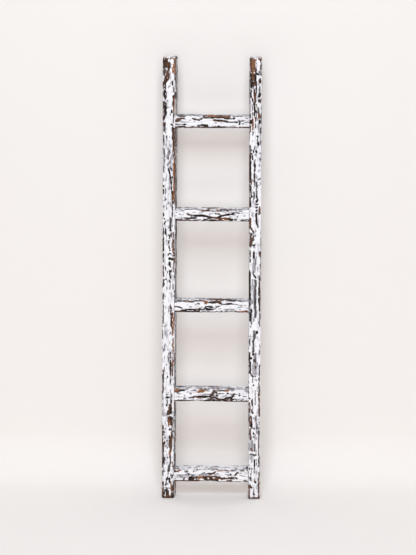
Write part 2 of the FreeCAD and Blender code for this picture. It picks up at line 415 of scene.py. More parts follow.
def cell_value(cells, seed):
    """A repeatable number from 0 to 1 for each whole-numbered cell. The large numbers stir its bits."""
    by_axis = [cells[..., axis] * prime for axis, prime in enumerate(AXIS_PRIMES)]
    mixed = by_axis[0] ^ by_axis[1] ^ by_axis[2]
    mixed = (mixed ^ seed * SEED_STRIDE) & ALL_BITS
    mixed = ((mixed ^ mixed >> 15) * FIRST_STIR) & ALL_BITS
    mixed = ((mixed ^ mixed >> 13) * SECOND_STIR) & ALL_BITS
    return (mixed ^ mixed >> 16) / ALL_BITS


def drift(points, cell, seed, octaves=3):
    """Smooth noise from -1 to 1. cell gives the size of its largest lumps along each axis."""
    total = np.zeros(len(points))
    weights = [0.5 ** octave for octave in range(octaves)]
    for octave, weight in enumerate(weights):
        scaled = points / np.array(cell) * 2 ** octave
        corner = np.floor(scaled).astype(np.int64)
        part = scaled - corner
        ease = part * part * (3 - 2 * part)
        for offset in itertools.product((0, 1), repeat=3):
            share = np.prod(np.where(offset, ease, 1 - ease), axis=1)
            total += weight * share * (2 * cell_value(corner + offset, seed + octave) - 1)
    return total / sum(weights) * NOISE_GAIN


def ramp(values, low, high):
    """0 at low and 1 at high, with a soft start and end."""
    share = np.clip((values - low) / (high - low), 0, 1)
    return share * share * (3 - 2 * share)


# %% [markdown]
# ## Where a point lies on its timber
#
# Every mark of wear runs along the grain, so it is placed in two numbers: how far along the
# timber it lies, and how far round its girth. The girth is counted across the front face and
# then on round the corners, as if the four faces were unrolled. Marks then work the same on
# every face.

# %% Unrolled timber
UP = 2
SIDEWAYS = 0
RAIL_VOXEL = 0.9 * MM
RUNG_VOXEL = 0.5 * MM
WITHOUT_SHAVES = 90
FACES_THE_END = 0.7


class Timber:
    """A dense copy of a timber, with its points' places along the grain and round the girth."""

    def __init__(self, node, grain, voxel):
        self.node = node
        self.grain = grain
        self.piece = even_copy(node, f"{node}_painted", voxel)
        mesh = self.piece.data
        self.points = np.empty(len(mesh.vertices) * 3)
        mesh.vertices.foreach_get("co", self.points)
        self.points = self.points.reshape(-1, 3)
        self.normals = np.empty(len(mesh.vertices) * 3)
        mesh.vertices.foreach_get("normal", self.normals)
        self.normals = self.normals.reshape(-1, 3)
        self.measure()

    def measure(self):
        """Finds each point's places. A rail's middle line leans with it, and a rung's is level."""
        self.along = self.points[:, self.grain]
        sideways = self.points[:, 2 - self.grain]
        lean = np.polyfit(self.along, sideways, 1 if self.grain == UP else 0)
        self.across = sideways - np.polyval(lean, self.along)
        low, high = self.points[:, 1].min(), self.points[:, 1].max()
        self.depth = self.points[:, 1] - (low + high) / 2
        self.half_across = np.percentile(np.abs(self.across), WITHOUT_SHAVES)
        self.half_depth = (high - low) / 2
        self.middle = (sideways.min() + sideways.max()) / 2
        self.half_height = (sideways.max() - sideways.min()) / 2
        if self.grain == SIDEWAYS:
            self.across = sideways - self.middle
        self.start, self.end = self.along.min(), self.along.max()
        share_across = np.abs(self.across) / self.half_across
        share_depth = self.depth / self.half_depth
        front = -share_depth >= share_across
        back = share_depth >= share_across
        side = np.sign(self.across)
        round_corner = self.half_across + self.depth + self.half_depth
        behind = 2 * self.half_across + 2 * self.half_depth - np.abs(self.across)
        self.girth = np.where(front, self.across, side * np.where(back, behind, round_corner))
        self.front = front
        self.to_arris = np.hypot(np.maximum(self.half_across - np.abs(self.across), 0),
                                 np.maximum(self.half_depth - np.abs(self.depth), 0))
        self.to_end = np.minimum(self.along - self.start, self.end - self.along)
        self.on_end = np.abs(self.normals[:, self.grain]) > FACES_THE_END


timbers = {name: Timber(name, UP, RAIL_VOXEL) for name in ("left_rail", "right_rail")}
for number in range(1, RUNG_COUNT + 1):
    timbers[f"rung_{number}"] = Timber(f"rung_{number}", SIDEWAYS, RUNG_VOXEL)
for name, timber in timbers.items():
    print(name, len(timber.points), "points, half width and depth:", timber.half_across, timber.half_depth)

# %% [markdown]
# ## The kinds of mark
#
# Five things happened to this ladder. The saw and the drawknife left cracks and gouges, which the
# dark stain filled. Scraping took the paint off in patches, down to brown wood. Sanding rubbed
# the corners through the stain, to warm raw wood. Dry brushing left the paint thin, so that the
# dark shows through as grey. And thick daubs of paint cover what lies under them.
#
# Each kind says how much paint is lost, how dark the wood is there, how thin the paint is and
# how many millimetres deep the mark goes.

# %% Kinds of mark
KINDS = {
    "crack": {"lost": 1.0, "dark": 1.0, "deep": 0.50},
    "dark": {"lost": 1.0, "dark": 0.82, "deep": 0.34},
    "bare": {"lost": 1.0, "dark": 0.62, "deep": 0.24},
    "tan": {"lost": 1.0, "dark": 0.36, "deep": 0.20},
    "rubbed": {"lost": 1.0, "dark": 0.14, "deep": 0.18},
    "grey": {"thin": 0.70, "deep": 0.05},
    "smoke": {"thin": 1.05, "deep": 0.08},
    "daub": {"lost": 0.0, "thin": 0.0, "deep": -0.08},
}
OUTLINE = 0.5
MARK_EDGE = (0.25, 0.6)
WIDER = {UP: 1.52, SIDEWAYS: 1.68}
SPREAD = 0.45 * MM


def distance_to_line(places, points):
    """How far each place lies from a line through points."""
    points = np.array(points, float)
    if len(points) == 1:
        return np.hypot(*(places - points[0]).T)
    nearest = np.full(len(places), np.inf)
    for first, second in zip(points, points[1:]):
        run = second - first
        share = np.clip((places - first) @ run / (run @ run), 0, 1)
        nearest = np.minimum(nearest, np.hypot(*(places - first - share[:, None] * run).T))
    return nearest


# %% [markdown]
# The state of the paint is kept at each point of a timber as four numbers: how much paint is lost,
# how dark the wood is, how thin the paint is and how deep the mark goes. A mark is a line with a
# width, and the points near the line take the mark's numbers.
#
# A mark that bares the wood is drawn wider than it was read, to make up for the flecks of paint
# that stay inside it.

# %% Wear on a timber
WANDER_ALONG = 1.3 * MM
WANDER_ROUND = 0.45 * MM


class Wear:
    """The state of a timber's paint at each of its points."""

    def __init__(self, timber, seed):
        self.timber = timber
        self.seed = seed
        self.lost, self.dark, self.thin, self.deep = np.zeros((4, len(timber.points)))
        wander_along = WANDER_ALONG * self.noise(3.0, 9.0)
        wander_round = WANDER_ROUND * self.noise(2.2, 5.0)
        self.places = np.stack([timber.girth + wander_round, timber.along + wander_along], 1)

    def noise(self, across, along, octaves=3):
        """Noise whose lumps are so many millimetres across and along the grain."""
        self.seed += 10
        cell = [across * MM] * 3
        cell[self.timber.grain] = along * MM
        return drift(self.timber.points, cell, self.seed, octaves)

    def mark(self, kind, width, points):
        """Puts a mark of a kind on the timber. Its width and its line's points are metres."""
        effect = KINDS[kind]
        if effect.get("lost"):
            width = WIDER[self.timber.grain] * width + SPREAD
        ends = [point[1] for point in points]
        near = (self.places[:, 1] > min(ends) - 2 * width) & (self.places[:, 1] < max(ends) + 2 * width)
        close = 1 - (1 - OUTLINE) * distance_to_line(self.places[near], points) / (width / 2)
        close = np.clip(close, 0, 1)
        inside = ramp(close, *MARK_EDGE)
        if "lost" in effect:
            target = close if effect["lost"] else 1 - close
            chosen = np.maximum if effect["lost"] else np.minimum
            self.lost[near] = chosen(self.lost[near], target)
        if "dark" in effect:
            self.dark[near] += inside * (effect["dark"] - self.dark[near])
        if "thin" in effect:
            self.thin[near] += inside * (effect["thin"] - self.thin[near])
        self.deep[near] += inside * (effect["deep"] * MM - self.deep[near])


# %% [markdown]
# A nearly dry brush leaves streaks along the grain, and dabs where it was set down. So the paint
# starts out streaky, with small flaws, and the long corners are rubbed. On the fronts there is
# less of all this, because their marks are placed one by one.

# %% Paint as the brush left it
FRONT_SHARE = 0.75
STREAK_THINS = 0.62
VEIL_THINS = 0.44
DAB_THINS = 0.42
CORNER_REACH = 1.3 * MM


def brush_on(wear):
    """Streaky paint with small flaws, and worn long corners. Returns how near a corner each point is."""
    timber = wear.timber
    shown = np.where(timber.front, FRONT_SHARE, 1.0)
    streaks = ramp(wear.noise(2.2, 18.0), 0.0, 0.75)
    veils = ramp(wear.noise(6.0, 60.0), 0.0, 0.8)
    dabs = ramp(wear.noise(3.0, 5.0, 2), 0.05, 0.75)
    wear.thin = shown * (STREAK_THINS * streaks + VEIL_THINS * veils) + DAB_THINS * dabs
    flaws = 0.12 + 0.24 * wear.noise(1.6, 9.0) + 0.16 * wear.noise(7.0, 45.0)
    corner = np.exp(-(timber.to_arris / CORNER_REACH) ** 2)
    worn = ramp(wear.noise(9.0, 26.0), -0.35, 0.45)
    wear.lost = flaws * shown + corner * (0.12 + 0.55 * worn * shown)
    warm = ramp(wear.noise(9.0, 40.0), -0.1, 0.5)
    wear.dark = np.clip(0.82 + 0.2 * wear.noise(3.0, 25.0) - 0.5 * corner * warm, 0.05, 1)
    return corner


print("kinds of mark:", ", ".join(KINDS))

# %% [markdown]
# ## The marks on the fronts
#
# These were read off the photograph, in millimetres. A mark is its kind, its width and the points
# of its line. On a rail a point is how far right of the middle it lies, and its height above the
# floor. A point past a rail's corner is held just inside it later on.

# %% Marks on the left rail
LEFT_RAIL_MARKS = [
    # The top end, with two bare patches and a sanded corner.
    ("daub", 5, (4.2, 759), (3.6, 730)),
    ("bare", 1.6, (-10, 762), (5, 762)),
    ("dark", 1.6, (-10.1, 761), (-9.9, 745)),
    ("bare", 9.2, (-3.8, 753), (-3.2, 747)),
    ("dark", 2.8, (-8, 757), (-6.8, 746)),
    ("daub", 1.8, (-1.4, 759), (-1.6, 756)),
    ("dark", 4, (-1, 745), (-1.8, 742)),
    ("smoke", 3, (-7.5, 743), (-6.5, 738)),
    ("bare", 5.6, (-4.2, 738), (-4.6, 728)),
    ("bare", 3, (-7.6, 740), (-7.4, 731)),
    ("dark", 2.4, (-7, 734), (-7.6, 727)),
    ("bare", 4.4, (-6, 727), (-6.6, 721)),
    ("dark", 4.2, (-7.2, 719), (-7.2, 712)),
    ("grey", 1.6, (-6.4, 716), (-6.4, 713.5)),
    ("grey", 2.4, (1, 738), (1.6, 727)),
    ("crack", 1.5, (4.9, 723), (5, 717)),
    ("smoke", 1.2, (-1.2, 712), (0, 715), (2, 714)),
    ("rubbed", 3.8, (8.0, 750), (7.4, 738)),
    ("tan", 2.4, (8.6, 760), (9.2, 752)),
    ("rubbed", 1.6, (4, 761.2), (10, 761)),
    ("smoke", 1.4, (9.6, 750), (9.8, 725)),
    ("smoke", 1.2, (6.6, 746), (6.2, 736)),
    # Down to the top rung: dark blots on the outer edge, a chain of them on the inner one.
    ("crack", 3.2, (-7.4, 706), (-7.4, 698)),
    ("dark", 1.5, (-5.4, 704), (-5.9, 694)),
    ("dark", 4.2, (-7.4, 688), (-7, 674)),
    ("crack", 2.4, (-6.6, 682), (-6.2, 668)),
    ("dark", 1.8, (-6.6, 668), (-9.2, 660)),
    ("crack", 1.1, (-3.2, 691.5), (-3, 690.5)),
    ("dark", 1.6, (6.8, 713), (7, 706)),
    ("dark", 2.4, (7, 698), (7.4, 691)),
    ("bare", 2.4, (7.8, 690), (7.9, 672)),
    ("rubbed", 1.5, (9.3, 694), (9.4, 668)),
    ("crack", 1.3, (6.2, 689), (6, 682)),
    ("crack", 1.8, (3.6, 674.5), (3.6, 671)),
    ("bare", 1.9, (7.8, 670), (7.4, 655)),
    ("smoke", 1.4, (9.6, 712), (9.8, 690)),
    ("dark", 1.8, (-9.9, 665), (-9.9, 658)),
    ("dark", 2.8, (-8.4, 654), (-8, 650)),
    ("smoke", 3, (-8.2, 648), (-8, 641)),
    ("crack", 1.9, (3.4, 651.5), (4.4, 651)),
    ("dark", 3.6, (7, 648), (6.4, 638)),
    ("crack", 1.4, (6, 634), (5.8, 626)),
    ("bare", 2.2, (8, 640), (8.4, 622)),
    ("smoke", 1.6, (-6.4, 638.5), (-5.4, 638)),
    ("dark", 1.5, (-4.6, 632), (-4.6, 630.5)),
    ("crack", 1.4, (-10.3, 634), (-10.3, 617)),
    ("crack", 1.4, (-10.3, 611), (-10.1, 589)),
    ("dark", 1.4, (-10.3, 588), (-10, 573)),
    # The second bay: a long rubbed corner, and one slanting gouge.
    ("rubbed", 2.2, (8.9, 624), (9, 600), (9.2, 575), (9, 556)),
    ("dark", 1.4, (7, 622), (6.8, 605)),
    ("bare", 2.4, (7.9, 626), (7.8, 594)),
    ("smoke", 1.2, (-1, 611), (-1.2, 606)),
    ("dark", 1.4, (-1.6, 597.5), (-1.6, 594)),
    ("grey", 1.3, (0.4, 601), (0.4, 599)),
    ("smoke", 1.2, (0, 587.5), (0.8, 586)),
    ("dark", 1.2, (1.4, 580), (2.4, 577)),
    ("crack", 1.3, (-1, 578.5), (-0.6, 572)),
    ("dark", 1.3, (4, 578), (4.4, 574)),
    ("crack", 1.4, (0, 575), (1.4, 566), (1.8, 562), (3, 555)),
    ("crack", 1.6, (5.6, 563.5), (6.2, 562)),
    ("smoke", 1.4, (3.8, 563), (3.8, 561)),
    ("grey", 3, (-9, 561), (-9, 558)),
    ("dark", 1.2, (2.4, 560), (2.6, 553)),
    ("crack", 1.5, (4, 554), (3.8, 550.5)),
    ("crack", 1.4, (4.2, 548), (4.4, 538)),
    ("crack", 1.5, (7.4, 537), (8, 535)),
    ("dark", 3, (5.8, 538), (6.6, 531)),
    ("daub", 2, (6.8, 546), (6.9, 541)),
    ("bare", 3.2, (6.6, 530), (7.2, 520)),
    ("rubbed", 2, (9, 556), (9, 541)),
    ("rubbed", 2.2, (8.8, 535), (8.7, 524)),
    ("smoke", 1.2, (-6, 545), (-6.1, 536)),
    ("smoke", 1.2, (-8, 523.5), (-6, 525.5), (-4.4, 527)),
    ("dark", 1.6, (-10.1, 548), (-9.9, 536)),
    ("smoke", 1.8, (6.2, 521), (6, 497)),
    ("crack", 1.6, (5.8, 512.5), (5.8, 508.5)),
    ("crack", 1.5, (5.9, 500.5), (5.9, 497)),
    ("dark", 1.8, (-9.9, 516), (-9.9, 507)),
    ("crack", 1.9, (-10.1, 502.5), (-10.1, 499)),
    ("dark", 1.4, (-7.8, 494), (-7.6, 492)),
    ("dark", 1.7, (-6.4, 489), (-7.8, 483)),
    # Beside the fourth rung: a broad scrape where hardly any paint took.
    ("smoke", 3.6, (2.4, 493), (2.6, 474)),
    ("dark", 1.5, (2.2, 492), (3, 485)),
    ("dark", 1.7, (1.6, 480), (2.8, 474)),
    ("crack", 1.5, (-5.8, 475), (-5.6, 467)),
    ("dark", 2.2, (3.6, 468), (3.4, 462)),
    ("dark", 1.6, (0.8, 465.5), (1.4, 460)),
    ("crack", 1.3, (0, 456), (-0.6, 449)),
    ("bare", 1.7, (7.8, 469), (7.9, 462)),
    ("tan", 3, (8, 459), (8, 449)),
    ("dark", 1.4, (-10.3, 476), (-10.1, 455)),
    ("crack", 1.7, (-9.9, 455), (-9.9, 438)),
    ("dark", 1.5, (-10, 433), (-9.9, 420)),
    ("dark", 1.4, (-9.9, 412), (-9.9, 394)),
    ("crack", 1.4, (-10.3, 389), (-10.2, 377)),
    ("crack", 1.4, (-10.3, 364), (-10.2, 355)),
    # The third bay: five rough bites across the grain.
    ("dark", 1.4, (0.4, 447), (0.6, 444)),
    ("dark", 1.5, (1, 442.5), (2, 438)),
    ("tan", 3, (6, 440.5), (8.4, 440)),
    ("rubbed", 2.2, (7.6, 441), (8.8, 440)),
    ("grey", 4, (6, 450), (6.6, 445)),
    ("dark", 1.7, (0.4, 431.5), (3.4, 432.5)),
    ("crack", 1.3, (-1, 432), (-1.2, 430)),
    ("bare", 2.4, (8, 436), (7.6, 428)),
    ("crack", 2.6, (0.6, 424), (6, 424.5)),
    ("daub", 2.2, (1, 428.2), (5.6, 428.4)),
    ("crack", 2.6, (1.2, 418), (1.2, 414.5)),
    ("dark", 1.2, (1.4, 411), (3.8, 410.4)),
    ("crack", 1.3, (-5.4, 411), (-5.4, 405)),
    ("crack", 1.7, (1.4, 403.4), (1.6, 402.4)),
    ("dark", 1.2, (4, 405), (4, 402)),
    ("smoke", 1.2, (-1.8, 402), (-1.8, 400.5)),
    ("crack", 1.5, (1.4, 399.5), (1.8, 395.5)),
    ("crack", 1.5, (2.8, 394.5), (2.8, 391.5)),
    ("crack", 1.8, (1.2, 387.5), (1.6, 385.2)),
    ("dark", 1.2, (-5.2, 389.5), (-4.6, 388.4)),
    ("smoke", 1.2, (-2, 387), (-1.8, 385)),
    ("bare", 1.8, (8.2, 409), (8.2, 403)),
    ("smoke", 2, (8, 381), (8.2, 373)),
    ("smoke", 1.2, (2.4, 380), (2, 374)),
    ("smoke", 1.2, (1.2, 373), (2, 371)),
    ("smoke", 1.2, (1.8, 367), (2, 365)),
    ("bare", 2, (8.8, 455), (8.9, 441)),
    ("dark", 1.4, (-10.5, 350), (-10.4, 308)),
    ("smoke", 1.4, (0.2, 336.5), (0.2, 332)),
    ("bare", 1.6, (9.2, 436), (9.4, 412)),
    ("dark", 2.2, (3.6, 341), (4, 334)),
    # Below the third rung: rubbed through to warm wood.
    ("dark", 3, (5, 331), (5.2, 306)),
    ("crack", 1.5, (5.6, 326), (5.4, 312)),
    ("bare", 2.4, (6.6, 330), (7, 322)),
    ("tan", 2.2, (8.2, 325), (7.8, 306), (7.6, 293)),
    ("rubbed", 1.6, (8.6, 322), (8.2, 305)),
    ("dark", 1.6, (4.4, 307), (6, 303)),
    ("smoke", 2, (3.4, 297), (3.6, 294)),
    ("grey", 1.8, (5, 292), (6.6, 290.5)),
    ("bare", 1.7, (8, 287), (8.3, 262)),
    ("rubbed", 1.2, (8.9, 283), (9, 262)),
    ("tan", 1.6, (8.4, 262), (8.4, 240)),
    ("smoke", 1.2, (-7, 274), (-7.2, 265)),
    ("grey", 1.5, (-1.4, 268.5), (-1.4, 266)),
    ("smoke", 1.2, (-6.6, 255), (-6.6, 250)),
    ("dark", 1.2, (3, 264), (3.2, 250)),
    ("smoke", 1.6, (4.2, 252.5), (5.4, 252)),
    ("crack", 1.6, (3.2, 247), (3.2, 238)),
    ("smoke", 1.1, (-2, 246), (-0.4, 245.6)),
    # The fourth bay: a black split, a ladder of notches and a big scraped patch.
    ("crack", 1.6, (3.6, 245), (3.6, 232)),
    ("dark", 1.5, (3.5, 232), (3.2, 221)),
    ("smoke", 1.5, (3, 220), (3.2, 204)),
    ("dark", 1.2, (3.2, 212), (3.2, 207)),
    ("tan", 2, (7.4, 246), (7.4, 238)),
    ("bare", 1.7, (7.6, 235), (7.4, 221)),
    ("smoke", 1.2, (-6.8, 237), (-6.8, 229)),
    ("dark", 1.8, (-10.1, 231), (-10.1, 193)),
    ("crack", 1.4, (-10.3, 222), (-10.3, 205)),
    ("dark", 1.8, (-1.6, 219.5), (-1.6, 217.5)),
    ("dark", 1.2, (-3.8, 191.3), (0, 190.8)),
    ("smoke", 1.4, (-3.8, 187.6), (0, 187.6)),
    ("crack", 2.3, (-3, 182.2), (0, 182.2)),
    ("smoke", 2.2, (-2.4, 178), (-1.6, 171)),
    ("crack", 1.8, (-3, 170), (-2.8, 167.5)),
    ("grey", 2.2, (3.8, 196), (3.8, 180)),
    ("smoke", 2, (4, 180), (4.2, 172)),
    ("dark", 1.2, (6, 188), (6, 173)),
    ("bare", 4.4, (3.2, 168), (3.8, 156)),
    ("dark", 1.9, (5.4, 171), (5, 154)),
    ("crack", 1.6, (4.4, 157), (4.2, 153)),
    ("bare", 2.6, (0, 157), (0.2, 151)),
    ("dark", 1.2, (-1.4, 158), (-1.2, 150)),
    ("bare", 4.4, (1.2, 146), (2.6, 139)),
    ("dark", 1.5, (4.4, 148), (4, 143)),
    ("dark", 1.2, (-0.8, 147), (-0.8, 139)),
    ("grey", 4.6, (-9, 156), (-8.8, 151)),
    ("crack", 1.6, (7.2, 146), (7.4, 142)),
    ("bare", 1.7, (7, 140), (6.8, 135)),
    ("tan", 3, (1.6, 139), (2, 134)),
    ("smoke", 1.3, (0.2, 135), (0.4, 131)),
    ("crack", 1.7, (2, 126), (2.2, 124.5)),
    # The lowest bays: a brown band that wanders in from the corner.
    ("bare", 3.4, (6, 137), (6.2, 122), (6.4, 112)),
    ("dark", 1.6, (7.2, 134), (7.2, 114)),
    ("bare", 3.6, (5.6, 110), (4, 106)),
    ("rubbed", 1.8, (6.4, 108), (6.2, 104)),
    ("bare", 3, (3.4, 106), (3.2, 96), (2.8, 76)),
    ("rubbed", 1.5, (2.2, 86), (2.2, 77)),
    ("crack", 1.5, (1.8, 114), (2, 110)),
    ("crack", 1.4, (3.8, 76), (4, 64)),
    ("smoke", 2.2, (6.2, 103), (6.2, 89)),
    ("smoke", 2.8, (3.2, 63), (2.6, 58)),
    ("smoke", 3.6, (1.6, 59), (2, 51)),
    ("dark", 1.3, (0.4, 58), (-0.2, 49)),
    ("smoke", 1.3, (0, 50), (-0.4, 40)),
    ("bare", 1.4, (6.8, 67.5), (7.2, 60)),
    ("tan", 1.3, (8.4, 64), (8.4, 57)),
    ("crack", 1.4, (-10.3, 84), (-9.9, 83)),
    ("smoke", 1.3, (-4.8, 127), (-4.2, 126)),
    ("dark", 1.5, (-6, 102), (-6, 100)),
    ("smoke", 1.2, (-1, 94), (-1, 91)),
    ("smoke", 1.3, (-4.6, 85.5), (-3.4, 85)),
    ("smoke", 1.5, (-6.2, 74), (-6.3, 63)),
    ("dark", 1.2, (-6.3, 64.5), (-6.3, 63)),
    ("smoke", 1.2, (-1.2, 75.5), (-1, 73.5)),
    ("smoke", 1.5, (-9, 46), (-8, 49.5), (-6, 49.5)),
    ("dark", 2.8, (7, 42), (6.6, 38)),
    # The outer corner, stained and never painted.
    ("dark", 1.8, (-10.8, 132), (-10.8, 126)),
    ("dark", 2.2, (-10.8, 122), (-10.6, 101)),
    ("dark", 2.6, (-10.6, 100), (-10.4, 57)),
    ("smoke", 2.2, (-10.8, 50), (-10.6, 43)),
    ("dark", 2.2, (-10.8, 30), (-10.6, 18)),
    ("bare", 2.2, (-10.8, 17), (-10.6, 2)),
    # The heel: a bright ledge over a knotty hollow.
    ("dark", 2.4, (-1.4, 38), (-2.4, 30), (-3.4, 24.5)),
    ("dark", 1.7, (2.4, 37), (2.4, 29)),
    ("daub", 2, (-9.4, 22), (4.4, 22)),
    ("smoke", 1.4, (-8, 18.6), (4, 18.8)),
    ("dark", 6.6, (-2.2, 14), (-1.2, 6)),
    ("bare", 4, (-0.6, 11), (-0.4, 5)),
    ("crack", 1.7, (-5.8, 11.5), (-6, 8.6)),
    ("crack", 1.6, (-2.2, 11), (-2, 8)),
    ("daub", 1.2, (-4.2, 12), (-4.9, 5)),
    ("daub", 2, (3, 14), (3.4, 4.5)),
    ("grey", 2.6, (-7.4, 12), (-7.6, 5)),
    # Painted shade: these two lines along the bottom edge, brown over black, stand for the contact shadow
    # under the foot.
    ("bare", 2.2, (-9.4, 2), (3, 2)),
    ("crack", 1.4, (-10, 0.6), (7, 0.6)),
    ("rubbed", 3.2, (6.6, 27), (6.8, 16), (6.4, 6)),
    ("bare", 2, (5.6, 6), (5, 2)),
    ("dark", 1.5, (-10.5, 13), (-10.3, 1)),
    ("dark", 1.4, (-10.5, 30), (-10.5, 22)),
    # Painted shade in part: this dark strip up the inner corner of the foot also stands for the shade between
    # the feet.
    ("dark", 3, (9.8, 30), (9.8, 2)),
]

# %% [markdown]
# The right rail has a bare strip at its top end that runs down to a point. Below it, long cracks
# follow the grain.

